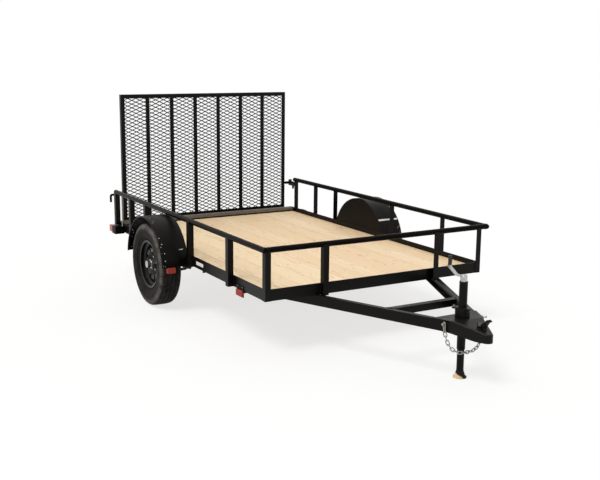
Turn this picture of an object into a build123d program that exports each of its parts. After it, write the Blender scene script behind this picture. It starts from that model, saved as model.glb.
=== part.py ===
from build123d import *
import os
from math import asin, cos, degrees, radians, sin, tan

# A single-axle utility trailer with a plank deck, pipe rails and a mesh ramp gate at the rear.
# Millimetres; +X runs forward to the coupler, +Y to the trailer's left, +Z up from the ground.

# Bed frame of steel angle, with a box section across the rear
bed_length = 3048.0
bed_width = 1930.0
frame_top = 500.0
frame_depth = 86.0
frame_lip = 51.0
frame_wall = 5.0
sill_depth = 51.0
sill_wall = 4.0

# Deck planks on angle crossmembers
plank_count = 10
plank_thick = 38.0
plank_gap = 4.0
deck_margin = 2.0
crossmember_count = 7
crossmember_width = 51.0
crossmember_depth = 51.0
crossmember_wall = 5.0
leg_clearance = 1.0

# Angle posts outside the frame, with pipe rails on top
post_leg = 45.0
post_wall = 4.8
rail_radius = 21.0
rail_top = 810.0
rail_offset = 24.0
cope_gap = 0.1
rear_post_setback = 27.0
second_post_setback = 428.0
third_post_setback = 809.0
fourth_post_setback = 1770.0
fifth_post_setback = 2495.0
front_post_spacing = 946.0

# Axle, wheels and tyres
axle_setback = 1297.0
axle_radius = 30.0
spindle_radius = 17.0
bearing_gap = 0.3
tyre_radius = 352.0
tyre_width = 190.0
tyre_inset = 28.0
tread_width = 140.0
shoulder_radius = 320.0
bulge_radius = 268.0
bead_clearance = 6.0
rim_seat_radius = 190.5
rim_flange_radius = 206.0
rim_width = 136.0
rim_wall = 4.0
rim_seat = 30.0
rim_well_slope = 12.0
rim_well_depth = 19.0
rim_disc = 5.0
rim_dish = 26.0
dish_start = 84.0
dish_end = 108.0
dish_crest = 132.0
crest_rise = 4.0
disc_edge = 6.0
bead_gap = 0.4
lug_count = 5
lug_circle = 114.3
lug_radius = 9.5
lug_height = 20.0
rim_window_count = 8
rim_window_radius = 17.0
rim_window_circle = 240.0
hub_radius = 38.0
hub_clearance = 2.0
hub_length = 104.0
hub_flange_radius = 74.0
hub_flange = 10.0
cap_radius = 30.0
cap_length = 34.0
axle_shoulder = 8.0
spindle_room = 6.0

# Leaf springs slung under the axle
spring_width = 40.0
spring_span = 640.0
leaf_thick = 7.0
leaf_half_lengths = (320.0, 250.0, 175.0, 105.0)
spring_rise = 45.0
eye_radius = 15.0
eye_bore = 7.6
eye_bolt_radius = 7.0
hanger_wall = 5.0
hanger_gap = 0.8
hanger_radius = 24.0
pad_height = 6.0
pad_length = 80.0
pad_gap = 1.0
tie_plate = (110.0, 10.0)
ubolt_radius = 6.0
ubolt_gap = 0.4
ubolt_side_gap = 1.0
ubolt_tail = 18.0

# Fenders of rolled sheet with a back plate
fender_radius = 412.0
fender_sheet = 3.0
fender_width = 225.0
fender_lip = 6.0
fender_end_height = 400.0

# Tongue legs, brace and coupler
nose_reach = 1252.0
nose_radius = 38.0
tongue_half_angle = 23.5
tongue_depth = 76.0
tongue_flange = 38.0
tongue_wall = 5.0
tongue_tail = 620.0
tongue_tip = 185.0
brace_setback = 712.0
brace_width = 51.0
brace_depth = 51.0
coupler_wall = 6.0
coupler_length = 370.0
skirt_length = 262.0
skirt_tab = (40.0, 40.0)
nose_drop = 25.0
nose_fall = 50.0
fall_length = 220.0
nose_round = 12.0
ball_radius = 25.8
ball_seat_depth = 26.0
nose_solid = 46.0
lever_width = 26.0
lever_thick = 8.0
lever_length = 40.0
lever_angle = 45.0
lever_base = (66.0, 4.0)
lever_lead = 26.0
lever_tip_radius = 6.0
lever_tip_width = 48.0

# Screw jack through the coupler
jack_setback = 290.0
jack_radius = 28.5
jack_wall = 3.5
jack_bottom = 200.0
jack_top = 663.0
jack_slide_gap = 0.4
jack_leg_top = 460.0
jack_hole_gap = 0.3
jack_flange_radius = 86.0
jack_flange = 10.0
jack_flange_round = 14.0
jack_collar_radius = 50.0
jack_collar = 60.0
jack_cap = 44.0
jack_cap_radius = 23.0
jack_cap_round = 6.0
jack_foot_radius = 46.0
jack_foot_lip = 8.0
jack_foot_plate = 8.0
jack_foot_height = 52.0
crank_length = 135.0
crank_level = 68.0
crank_rise = 43.0
crank_width = 28.0
crank_thick = 7.0
crank_radius = 6.0
crank_drop = 17.0
crank_direction = 185.0
grip_radius = 13.0
grip_length = 72.0
grip_gap = 0.3

# Rear ramp gate
gate_gap = 26.0
gate_rise = -16.0
gate_height = 1225.0
gate_side_gap = 68.0
gate_leg = 38.0
gate_wall = 4.8
gate_bar_count = 6
mesh_thick = 3.0
mesh_margin = 4.0
mesh_columns = 12
mesh_rows = 12
mesh_strand = 14.0
hinge_spread = 1240.0
hinge_pin_radius = 10.0
hinge_gap = 0.3
barrel_radius = 17.0
barrel_length = 70.0
ear_thick = 8.0
ear_radius = 12.0
ear_gap = 1.5
latch_height = 750.0
latch_plate = 6.0
latch_tall = 56.0
latch_ear = 50.0
latch_ear_gap = 2.0
latch_pin_radius = 11.0
latch_sleeve_radius = 14.0
latch_nose = 14.0
latch_reach = 50.0
latch_handle = 70.0
latch_bend = 16.0
latch_clearance = 8.0

# Lamps
tail_lamp = (171.0, 90.0, 71.0)
tail_drop = 10.0
tail_lens = 90.0
tail_lens_overhang = 10.0
tail_lens_round = 8.0
lens_inset = 3.0
marker_lens = (14.0, 74.0, 46.0)
marker_base = 12.0
marker_inset = 26.0
marker_gap = 0.3
marker_drop = 20.0
marker_overlap = 20.0
marker_round = 5.0
side_marker_plate = (110.0, 4.0, 88.0)
side_marker_lens = (100.0, 14.0, 50.0)
side_marker_reach = 107.0
side_marker_lap = 38.0

# Safety chains hooked together in front of the jack
chain_wire = 7.0
chain_inner = 31.0
chain_width = 27.0
chain_slack = 0.7
chain_bolt_setback = 283.0
chain_bolt_drop = 14.0
chain_bolt_radius = 4.0
chain_bolt_length = 46.0
chain_bolt_head = 5.0
chain_mid_reach = 66.0
chain_mid_height = 195.0

# Places worked out from the sizes above
gate_depth = gate_leg + mesh_thick
gate_width = bed_width - 2 * gate_side_gap
overall_length = gate_depth + gate_gap + bed_length + nose_reach
bed_rear = gate_depth + gate_gap - overall_length / 2
bed_front = bed_rear + bed_length
side = bed_width / 2
frame_bottom = frame_top - frame_depth
lip_top = frame_bottom + frame_wall
deck_bottom = lip_top
rail_height = rail_top - rail_radius
axle_x = bed_rear + axle_setback
axle_z = tyre_radius
wheel_y = side + tyre_inset + tyre_width / 2
spring_y = side - frame_lip / 2
nose_x = bed_front + nose_reach - nose_radius
tongue_top = frame_bottom
tongue_bottom = tongue_top - tongue_depth
jack_x = bed_front + nose_reach - jack_setback
slope = radians(tongue_half_angle)
tail_bottom = frame_bottom - tail_drop
tail_top = tail_bottom + tail_lamp[2]
sides = {"right": -1, "left": 1}


def block(x, y, z):
    """Box from three (low, high) pairs."""
    size = [high - low for low, high in (x, y, z)]
    centre = [(high + low) / 2 for low, high in (x, y, z)]
    return Pos(*centre) * Box(*size)


def span(a, b):
    """Two values in rising order."""
    return (min(a, b), max(a, b))


def rod(radius, start, end):
    """Round bar between two points."""
    line = Vector(*end) - Vector(*start)
    plane = Plane(origin=start, z_dir=line)
    return extrude(plane * Circle(radius), line.length)


def mirrored(shape, s):
    """The left piece as modelled, or its mirror image for the right side."""
    return shape if s > 0 else mirror(shape, about=Plane.XZ)


# Line of a tongue leg's outer face, which the coupler's skirt lies against
along = Vector(cos(slope), -sin(slope), 0)
inward = Vector(-sin(slope), -cos(slope), 0)
nose_tangent = Vector(nose_x, 0, 0) - inward * nose_radius
leg_face = nose_tangent + inward * coupler_wall
leg_run = (0, nose_reach + tongue_tail + bed_width)


def along_leg(shape):
    """Places a shape drawn with x in from the leg's outer face, y up and z back from the nose."""
    plane = Plane(origin=(leg_face.X, leg_face.Y, tongue_bottom), x_dir=inward, z_dir=-along)
    return plane * shape


def save(shape, name):
    export_step(shape, f"parts/{name}.step")


def group(shapes):
    """Separate solids kept as one piece."""
    return Compound(children=[solid for shape in shapes for solid in shape.solids()])


# Bed frame: side angles with the lip turned in, a front angle between them and a box sill at the rear
def frame_side():
    wall = block((bed_rear, bed_front), (side - frame_wall, side), (frame_bottom, frame_top))
    lip = block((bed_rear + sill_depth, bed_front - frame_wall), (side - frame_lip, side),
                (frame_bottom, lip_top))
    return wall + lip


def frame_front():
    half = side - frame_wall
    wall = block((bed_front - frame_wall, bed_front), (-half, half), (frame_bottom, frame_top))
    half_lip = side - frame_lip
    lip = block((bed_front - frame_lip, bed_front), (-half_lip, half_lip), (frame_bottom, lip_top))
    return wall + lip


def frame_rear():
    half = side - frame_wall
    tube = block((bed_rear, bed_rear + sill_depth), (-half, half), (frame_bottom, frame_top))
    inner = block((bed_rear + sill_wall, bed_rear + sill_depth - sill_wall), (-half, half),
                  (frame_bottom + sill_wall, frame_top - sill_wall))
    return tube - inner


def crossmembers():
    half = side - frame_lip
    first = bed_rear + sill_depth
    pitch = (bed_front - frame_lip - first) / (crossmember_count + 1)
    room = along_leg(block((-leg_clearance, tongue_flange + leg_clearance), (0, tongue_depth), leg_run))
    shapes = []
    for i in range(crossmember_count):
        x = first + pitch * (i + 1)
        top = block((x - crossmember_width / 2, x + crossmember_width / 2), (-half, half),
                    (deck_bottom - crossmember_wall, deck_bottom))
        web = block((x - crossmember_width / 2, x - crossmember_width / 2 + crossmember_wall), (-half, half),
                    (deck_bottom - crossmember_depth, deck_bottom))
        shapes.append(top + web - room - mirror(room, about=Plane.XZ))
    return group(shapes)


def deck_planks():
    half = side - frame_wall - deck_margin
    width = (2 * half - plank_gap * (plank_count - 1)) / plank_count
    rear = bed_rear + sill_depth + deck_margin
    front = bed_front - frame_wall - deck_margin
    shapes = []
    for i in range(plank_count):
        y = -half + i * (width + plank_gap)
        shapes.append(block((rear, front), (y, y + width), (deck_bottom, deck_bottom + plank_thick)))
    return group(shapes)


# Pipe rails, mitred where the side and front pipes meet
corner_x = bed_front + rail_offset
corner_y = side + rail_offset


def mitre(sign_y):
    """Plane of the rail's mitre at a front corner, facing along the front pipe."""
    return Plane(origin=(corner_x, sign_y * corner_y, rail_height), z_dir=(1, -sign_y, 0))


def rail_side():
    reach = corner_x + 2 * rail_radius
    pipe = rod(rail_radius, (bed_rear + rear_post_setback, corner_y, rail_height),
               (reach, corner_y, rail_height))
    return split(pipe, bisect_by=mitre(1), keep=Keep.BOTTOM)


def rail_front():
    reach = corner_y + 2 * rail_radius
    pipe = rod(rail_radius, (corner_x, -reach, rail_height), (corner_x, reach, rail_height))
    pipe = split(pipe, bisect_by=mitre(1), keep=Keep.TOP)
    return split(pipe, bisect_by=mitre(-1), keep=Keep.TOP)


# Angle posts, each coped to the pipe it carries
def angle_post(x, y, out_x, out_y, foot=frame_bottom):
    """Angle with its corner at the far end of out_x, out_y from the point x, y."""
    far_x = x + out_x * post_leg
    far_y = y + out_y * post_leg
    heights = (foot, rail_height)
    along_x = block(span(x, far_x), span(far_y, far_y - out_y * post_wall), heights)
    along_y = block(span(far_x, far_x - out_x * post_wall), span(y, far_y), heights)
    return along_x + along_y


def posts_side():
    # columns: distance of the post ahead of the bed's rear, height of its foot
    rows = ((rear_post_setback, tail_top), (second_post_setback, frame_bottom),
            (third_post_setback, frame_bottom), (fourth_post_setback, frame_bottom),
            (fifth_post_setback, frame_bottom))
    cope = rod(rail_radius + cope_gap, (bed_rear - rail_radius, corner_y, rail_height),
               (corner_x, corner_y, rail_height))
    return group([angle_post(bed_rear + setback, side, 1, 1, foot) - cope for setback, foot in rows])


def posts_front():
    half = front_post_spacing / 2
    wrap = post_leg - post_wall
    reach = corner_y + rail_radius
    cope = rod(rail_radius + cope_gap, (corner_x, -reach, rail_height), (corner_x, reach, rail_height))
    shapes = []
    for s in sides.values():
        side_cope = rod(rail_radius + cope_gap, (bed_front - 2 * post_leg, s * corner_y, rail_height),
                        (corner_x, s * corner_y, rail_height))
        shapes.append(angle_post(bed_front, s * half, 1, s) - cope)
        # the corner post wraps the outside of the frame's corner
        shapes.append(angle_post(bed_front - wrap, s * (side - wrap), 1, s) - cope - side_cope)
    return group(shapes)


# Fender: rolled sheet with a rolled outer lip, and a flat back plate welded to the frame's side
def fender():
    inner = fender_radius - fender_sheet
    end_angle = degrees(asin((fender_end_height - axle_z) / fender_radius))
    outer_edge = side + fender_width
    wheel_axis = Axis((axle_x, 0, axle_z), (0, -1, 0))
    # section in the plane z = axle_z, ahead of the axle, then turned up and back over the wheel
    section = Plane(origin=(axle_x, 0, axle_z), x_dir=(1, 0, 0), z_dir=(0, 0, 1))
    sheet = Pos(inner + fender_sheet / 2, side + fender_width / 2) * Rectangle(fender_sheet, fender_width)
    lip = Pos(inner - fender_lip + fender_sheet, outer_edge) * Circle(fender_lip)
    arch = revolve(section * (sheet + lip), axis=wheel_axis, revolution_arc=180 - 2 * end_angle)
    arch = arch.rotate(wheel_axis, end_angle)
    plate = rod(fender_radius - fender_sheet / 2, (axle_x, side, axle_z), (axle_x, side + fender_sheet, axle_z))
    keep = block((axle_x - fender_radius, axle_x + fender_radius), (side, side + fender_sheet),
                 (frame_bottom, axle_z + fender_radius))
    return arch + (plate & keep)


# Axle: straight tube with spindles and the pads that sit on the springs
tube_end = wheel_y - hub_flange - hub_length / 2 - axle_shoulder
spindle_end = wheel_y + hub_length / 2


def axle():
    shape = rod(axle_radius, (axle_x, -tube_end, axle_z), (axle_x, tube_end, axle_z))
    shape += rod(spindle_radius, (axle_x, -spindle_end, axle_z), (axle_x, spindle_end, axle_z))
    for s in sides.values():
        shape += block((axle_x - pad_length / 2, axle_x + pad_length / 2),
                       span(s * spring_y - spring_width / 2, s * spring_y + spring_width / 2),
                       (axle_z - axle_radius - pad_height, axle_z - axle_radius / 2))
    return shape


# Leaf spring: arched leaves under the axle pad, with an eye rolled at each end of the main leaf
spring_top = axle_z - axle_radius - pad_height - pad_gap
arch_radius = ((spring_span / 2) ** 2 + spring_rise ** 2) / (2 * spring_rise)
arch_z = spring_top + arch_radius
eye_z = spring_top + spring_rise + eye_radius - leaf_thick / 2
stack_bottom = spring_top - leaf_thick * len(leaf_half_lengths)


def leaf_sector(radius, half_length):
    """One leaf: a thin ring sector, as a face in the XZ plane about the arch's centre."""
    outer = radius + leaf_thick
    ends = [(sin(a) * r, -cos(a) * r) for r, a in
            ((radius, asin(half_length / radius)), (outer, asin(half_length / outer)))]
    (xi, zi), (xo, zo) = ends
    inner_arc = ThreePointArc((-xi, zi), (0, -radius), (xi, zi))
    outer_arc = ThreePointArc((-xo, zo), (0, -outer), (xo, zo))
    return make_face([inner_arc, outer_arc, Line((xi, zi), (xo, zo)), Line((-xi, zi), (-xo, zo))])


def leaf_spring():
    plane = Plane(origin=(axle_x, spring_y + spring_width / 2, arch_z), x_dir=(1, 0, 0), z_dir=(0, -1, 0))
    stack = None
    for i, half_length in enumerate(leaf_half_lengths):
        leaf = extrude(plane * leaf_sector(arch_radius + i * leaf_thick, half_length), spring_width)
        stack = leaf if stack is None else stack + leaf
    for end in (-1, 1):
        x = axle_x + end * spring_span / 2
        ring = rod(eye_radius, (x, spring_y - spring_width / 2, eye_z), (x, spring_y + spring_width / 2, eye_z))
        bore = rod(eye_bore, (x, spring_y - spring_width, eye_z), (x, spring_y + spring_width, eye_z))
        stack = stack + ring - bore
    return stack


# Hanger: two cheeks under the frame with a bolt through the spring's eye
def spring_hangers():
    inside = spring_width / 2 + hanger_gap
    shapes = []
    for end in (-1, 1):
        x = axle_x + end * spring_span / 2
        shape = rod(eye_bolt_radius, (x, spring_y - inside - hanger_wall, eye_z),
                    (x, spring_y + inside + hanger_wall, eye_z))
        for s in (-1, 1):
            cheek_y = span(spring_y + s * inside, spring_y + s * (inside + hanger_wall))
            cheek = block((x - hanger_radius, x + hanger_radius), cheek_y, (eye_z, frame_bottom))
            cheek += rod(hanger_radius, (x, cheek_y[0], eye_z), (x, cheek_y[1], eye_z))
            shape += cheek
        shapes.append(shape)
    return group(shapes)


# Clamp: tie plate under the leaves with two bolts bent over the axle
def axle_clamp():
    length, thick = tie_plate
    bolt_y = spring_width / 2 + ubolt_radius + ubolt_side_gap
    bend = axle_radius + ubolt_gap + ubolt_radius
    plate_half = bolt_y + 2 * ubolt_radius
    shape = block((axle_x - length / 2, axle_x + length / 2), (spring_y - plate_half, spring_y + plate_half),
                  (stack_bottom - thick, stack_bottom))
    low = stack_bottom - thick - ubolt_tail
    for s in (-1, 1):
        y = spring_y + s * bolt_y
        rear, front = axle_x - bend, axle_x + bend
        path = (Line((rear, y, low), (rear, y, axle_z))
                + ThreePointArc((rear, y, axle_z), (axle_x, y, axle_z + bend), (front, y, axle_z))
                + Line((front, y, axle_z), (front, y, low)))
        shape += sweep(Plane(origin=(rear, y, low)) * Circle(ubolt_radius), path=path)
    return shape


# Wheel: tyre, pressed steel rim and hub, each turned about the axle line
def turned(face, y):
    """Solid turned from a section whose axes are radius and distance outboard of y."""
    plane = Plane(origin=(axle_x, y, axle_z), x_dir=(1, 0, 0), z_dir=(0, 0, 1))
    return revolve(plane * face, axis=Axis((axle_x, y, axle_z), (0, 1, 0)))


def tyre():
    bead = rim_seat_radius + bead_gap
    bead_half = rim_width / 2 - rim_wall - bead_clearance
    # columns: radius, distance from the tyre's middle; bead, widest part, shoulder and tread on one side
    flank = [(bead, bead_half), (bulge_radius, tyre_width / 2), (shoulder_radius, tyre_width / 2),
             (tyre_radius, tread_width / 2)]
    other = [(radius, -y) for radius, y in reversed(flank)]
    return turned(make_face(Polyline(*flank, *other, close=True)), wheel_y)


def rim():
    half = rim_width / 2
    well = rim_seat_radius - rim_well_depth
    inside = rim_seat_radius - rim_wall
    edge = well - rim_wall
    slope_end = half - rim_seat - rim_well_slope
    # columns: radius, distance from the wheel's centre; the tyre side out from the well, then back inside
    flank = [(well, slope_end), (rim_seat_radius, half - rim_seat), (rim_seat_radius, half - rim_wall),
             (rim_flange_radius, half), (rim_flange_radius - rim_wall, half + rim_wall), (inside, half),
             (inside, half - rim_seat + rim_disc / 2), (edge, slope_end + rim_disc / 2)]
    barrel = make_face(Polyline(*flank, *[(radius, -y) for radius, y in reversed(flank)], close=True))
    hole = hub_radius + hub_clearance
    crest = rim_dish + crest_rise
    # columns: radius, distance outboard of the hub's flange; the inner face out, then the outer face back
    disc = [(hole, 0), (dish_start, 0), (dish_end, rim_dish), (dish_crest, crest), (edge, disc_edge),
            (edge, 2 * disc_edge), (dish_crest, crest + disc_edge), (dish_end - rim_disc, rim_dish + disc_edge),
            (dish_start - rim_disc, rim_disc), (hole, rim_disc)]
    shape = turned(barrel + make_face(Polyline(*disc, close=True)), wheel_y)
    for i in range(rim_window_count):
        a = radians(360 * (i + 0.5) / rim_window_count)
        x, z = axle_x + rim_window_circle / 2 * cos(a), axle_z + rim_window_circle / 2 * sin(a)
        shape -= rod(rim_window_radius, (x, wheel_y, z), (x, wheel_y + half, z))
    return shape


def hub():
    outer = wheel_y + hub_length / 2
    shape = rod(hub_radius, (axle_x, wheel_y - hub_length / 2, axle_z), (axle_x, outer, axle_z))
    shape += rod(hub_flange_radius, (axle_x, wheel_y - hub_flange, axle_z), (axle_x, wheel_y, axle_z))
    shape += rod(cap_radius, (axle_x, outer, axle_z), (axle_x, outer + cap_length, axle_z))
    for i in range(lug_count):
        a = radians(90 + 360 * i / lug_count)
        x, z = axle_x + lug_circle / 2 * cos(a), axle_z + lug_circle / 2 * sin(a)
        nut = Plane(origin=(x, wheel_y + rim_disc, z), z_dir=(0, 1, 0)) * RegularPolygon(lug_radius, 6)
        shape += extrude(nut, lug_height)
    bore = rod(spindle_radius + bearing_gap, (axle_x, wheel_y - hub_length, axle_z),
               (axle_x, spindle_end + spindle_room, axle_z))
    return shape - bore


# Tongue: channel legs closing on the coupler, their webs outside, and a cross brace between them
def tongue_leg():
    channel = along_leg(block((0, tongue_flange), (0, tongue_depth), leg_run))
    heights = (tongue_wall, tongue_depth - tongue_wall)
    channel -= along_leg(block((tongue_wall, 2 * tongue_flange), heights, leg_run))
    keep = block((bed_front - tongue_tail, nose_x - tongue_tip), (-bed_width, bed_width), (0, frame_top))
    return channel & keep


def leg_outside(x):
    """Distance of a leg's outer face from the centre line at x."""
    return (nose_radius - coupler_wall) / cos(slope) + (nose_x - x) * tan(slope)


def tongue_brace():
    x = bed_front + nose_reach - brace_setback
    front_half = leg_outside(x + brace_width / 2) - tongue_flange / cos(slope)
    rear_half = leg_outside(x - brace_width / 2) - tongue_flange / cos(slope)
    outline = Polyline((x - brace_width / 2, -rear_half), (x + brace_width / 2, -front_half),
                       (x + brace_width / 2, front_half), (x - brace_width / 2, rear_half), close=True)
    return Pos(0, 0, tongue_top - brace_depth) * extrude(make_face(outline), brace_depth)


# Coupler: pressed body that wraps the legs' tips, with a ball socket in its nose
def coupler_outline(inset, rear_x):
    """Tapered outline with a round nose, drawn in from the outside by inset."""
    radius = nose_radius - inset
    edge_x = nose_x + radius * sin(slope)
    edge_y = radius * cos(slope)
    rear_y = edge_y + (edge_x - rear_x) * tan(slope)
    lines = [Line((rear_x, -rear_y), (edge_x, -edge_y)),
             ThreePointArc((edge_x, -edge_y), (nose_x + radius, 0), (edge_x, edge_y)),
             Line((edge_x, edge_y), (rear_x, rear_y)), Line((rear_x, rear_y), (rear_x, -rear_y))]
    return make_face(lines)


def above_fall(level):
    """Everything over the coupler's top, which is level at first and falls toward the nose."""
    tip_x = bed_front + nose_reach
    outline = Polyline((bed_front, level), (tip_x - fall_length, level), (tip_x, level - nose_fall),
                       (tip_x, level + tongue_depth), (bed_front, level + tongue_depth), close=True)
    across = Plane(origin=(0, side, 0), x_dir=(1, 0, 0), z_dir=(0, -1, 0))
    return extrude(across * make_face(outline), bed_width)


def coupler_body():
    tip_x = bed_front + nose_reach
    rear_x = tip_x - coupler_length
    skirt_x = tip_x - skirt_length
    solid_x = nose_x - nose_solid
    low = tongue_bottom - nose_drop
    body = Pos(0, 0, low) * extrude(coupler_outline(0, rear_x), tongue_top + coupler_wall - low)
    room = Pos(0, 0, low) * extrude(coupler_outline(coupler_wall, rear_x - coupler_wall), tongue_top - low)
    room = room & block((rear_x - coupler_wall, solid_x), (-bed_width, bed_width), (low, tongue_top))
    body = body - above_fall(tongue_top + coupler_wall)
    body = fillet(body.edges().filter_by(GeomType.ELLIPSE), nose_round)
    body = body - (room - above_fall(tongue_top))
    # cut seen from the side: the skirts start ahead of the jack with a tab below, and drop toward the nose
    tab_length, tab_drop = skirt_tab
    cut = Polyline((rear_x, tongue_top), (skirt_x, tongue_top), (skirt_x, tongue_top - tab_drop),
                   (skirt_x - tab_length, tongue_top - tab_drop), (skirt_x - tab_length, tongue_bottom),
                   (skirt_x, tongue_bottom), (solid_x, low), (rear_x, low), close=True)
    across = Plane(origin=(0, side, 0), x_dir=(1, 0, 0), z_dir=(0, -1, 0))
    body -= extrude(across * make_face(cut), bed_width)
    socket_top = low + ball_seat_depth
    socket = rod(ball_radius, (nose_x, 0, low - ball_radius), (nose_x, 0, socket_top))
    socket += Pos(nose_x, 0, socket_top) * Sphere(ball_radius)
    hole = rod(jack_radius + jack_hole_gap, (jack_x, 0, low), (jack_x, 0, frame_top))
    return body - socket - hole


def coupler_lever():
    length, height = lever_base
    front = nose_x - nose_solid + lever_lead
    top = tongue_top + coupler_wall
    base = block((front - length, front), (-lever_width / 2, lever_width / 2), (top - nose_fall, top + height))
    base = base & above_fall(top)
    rise = radians(lever_angle)
    tip_x, tip_z = front + lever_length * cos(rise), top + height + lever_length * sin(rise)
    outline = Polyline((front - length / 2, top + height), (front, top + height), (tip_x, tip_z),
                       (tip_x - lever_tip_radius, tip_z + lever_tip_radius), close=True)
    plane = Plane(origin=(0, lever_thick / 2, 0), x_dir=(1, 0, 0), z_dir=(0, -1, 0))
    handle = rod(lever_tip_radius, (tip_x, -lever_tip_width / 2, tip_z), (tip_x, lever_tip_width / 2, tip_z))
    return base + extrude(plane * make_face(outline), lever_thick) + handle


# Jack: outer tube bolted on the coupler, sliding leg with its foot, and a crank on top
flange_z = tongue_top + coupler_wall


def jack_tube():
    shape = rod(jack_radius, (jack_x, 0, jack_bottom), (jack_x, 0, jack_top))
    shape += rod(jack_collar_radius, (jack_x, 0, flange_z), (jack_x, 0, flange_z + jack_collar))
    plate = extrude(RegularPolygon(jack_flange_radius, 3), jack_flange)
    plate = fillet(plate.edges().filter_by(Axis.Z), jack_flange_round)
    bore = rod(jack_radius - jack_wall, (jack_x, 0, jack_bottom), (jack_x, 0, jack_top - jack_wall))
    return shape + Pos(jack_x, 0, flange_z + jack_collar) * plate - bore


def jack_leg():
    radius = jack_radius - jack_wall - jack_slide_gap
    return rod(radius, (jack_x, 0, jack_foot_height), (jack_x, 0, jack_leg_top))


def jack_foot():
    plate = rod(jack_foot_radius, (jack_x, 0, 0), (jack_x, 0, jack_foot_plate))
    neck = Pos(jack_x, 0, (jack_foot_plate + jack_foot_height) / 2) * Cone(
        jack_foot_radius - jack_foot_lip, jack_radius - jack_wall - jack_slide_gap,
        jack_foot_height - jack_foot_plate)
    return plate + neck


crank_z = jack_top + jack_cap - crank_drop
crank_along = Vector(cos(radians(crank_direction)), sin(radians(crank_direction)), 0)
crank_end = Vector(jack_x, 0, crank_z + crank_rise) + crank_along * crank_length
crank_slope = crank_rise / (crank_length - crank_level)


def jack_crank():
    # flat bar seen from the side: level over the cap, then rising past the grip's pin
    reach = crank_length + crank_width / 2
    tip = crank_slope * (reach - crank_level)
    outline = Polyline((0, 0), (crank_level, 0), (reach, tip), (reach, tip + crank_thick),
                       (crank_level, crank_thick), (0, crank_thick), close=True)
    plane = Plane(origin=(jack_x, 0, crank_z), x_dir=crank_along, z_dir=crank_along.cross(Vector(0, 0, 1)))
    bar = extrude(plane * make_face(outline), crank_width / 2, both=True)
    pin = rod(crank_radius, tuple(crank_end), tuple(crank_end + Vector(0, 0, grip_length)))
    cap = rod(jack_cap_radius, (jack_x, 0, jack_top), (jack_x, 0, jack_top + jack_cap))
    cap = fillet(cap.edges().group_by(Axis.Z)[-1], jack_cap_round)
    return cap + bar + pin


def jack_grip():
    x, y, z = tuple(crank_end)
    low = z + crank_thick + crank_slope * grip_radius + grip_gap
    top = z + grip_length + grip_gap
    sleeve = rod(grip_radius, (x, y, low), (x, y, top + grip_radius / 2))
    return sleeve - rod(crank_radius + grip_gap, (x, y, low), (x, y, top))


# Ramp gate: angle border, upright angle bars and expanded mesh on the back, hinged below the bottom edge
gate_front_x = bed_rear - gate_gap
gate_back_x = gate_front_x - gate_leg
gate_bottom = frame_top + gate_rise
gate_top = gate_bottom + gate_height
gate_half = gate_width / 2
hinge_x = gate_front_x - gate_depth + barrel_radius
hinge_z = gate_bottom - barrel_radius


def gate_frame():
    heights = (gate_bottom, gate_top)
    face = block((gate_front_x - gate_wall, gate_front_x), (-gate_half, gate_half), heights)
    window = block((gate_back_x, gate_front_x), (-gate_half + gate_leg, gate_half - gate_leg),
                   (gate_bottom + gate_leg, gate_top - gate_leg))
    border = block((gate_back_x, gate_front_x), (-gate_half, gate_half), heights)
    border -= block((gate_back_x, gate_front_x), (-gate_half + gate_wall, gate_half - gate_wall),
                    (gate_bottom + gate_wall, gate_top - gate_wall))
    return (face - window) + border


def gate_bars():
    pitch = (gate_width - gate_leg) / (gate_bar_count + 1)
    heights = (gate_bottom + gate_leg, gate_top - gate_leg)
    shapes = []
    for i in range(gate_bar_count):
        y = -gate_half + gate_leg / 2 + pitch * (i + 1)
        face = block((gate_front_x - gate_wall, gate_front_x), (y - gate_leg / 2, y + gate_leg / 2), heights)
        rib = block((gate_back_x, gate_front_x), (y - gate_wall / 2, y + gate_wall / 2), heights)
        shapes.append(face + rib)
    return group(shapes)


def gate_mesh():
    width = gate_width - 2 * mesh_margin
    height = gate_height - 2 * mesh_margin
    step_y = width / mesh_columns
    step_z = height / mesh_rows
    plane = Plane(origin=(gate_back_x, 0, (gate_bottom + gate_top) / 2), x_dir=(0, 1, 0), z_dir=(-1, 0, 0))
    holes = []
    long_half = step_y / 2 - mesh_strand
    short_half = step_z / 2 - mesh_strand / 2
    for row in range(2 * mesh_rows - 1):
        offset = row % 2
        for column in range(mesh_columns - offset):
            y = -width / 2 + step_y * (column + 0.5 + 0.5 * offset)
            z = -height / 2 + step_z * (row + 1) / 2
            holes.append(Wire(Polyline((y - long_half, z), (y, z - short_half), (y + long_half, z),
                                       (y, z + short_half), close=True).edges()))
    sheet = Face(Wire(Rectangle(width, height).edges()), holes)
    return extrude(plane * sheet, mesh_thick)


def hinge_barrels():
    shapes = []
    for s in (-1, 1):
        y = s * hinge_spread / 2
        low, high = y - barrel_length / 2, y + barrel_length / 2
        barrel = rod(barrel_radius, (hinge_x, low, hinge_z), (hinge_x, high, hinge_z))
        bore = rod(hinge_pin_radius + hinge_gap, (hinge_x, low, hinge_z), (hinge_x, high, hinge_z))
        shapes.append(barrel - bore)
    return group(shapes)


def hinge_pins():
    shapes = []
    for s in (-1, 1):
        y = s * hinge_spread / 2
        inner = barrel_length / 2 + ear_gap
        shape = rod(hinge_pin_radius, (hinge_x, y - inner, hinge_z), (hinge_x, y + inner, hinge_z))
        for end in (-1, 1):
            ear = span(y + end * inner, y + end * (inner + ear_thick))
            shape += rod(ear_radius, (hinge_x, ear[0], hinge_z), (hinge_x, ear[1], hinge_z))
            shape += block((hinge_x, bed_rear), ear, (hinge_z - ear_radius, hinge_z + ear_radius))
        shapes.append(shape)
    return group(shapes)


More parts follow.
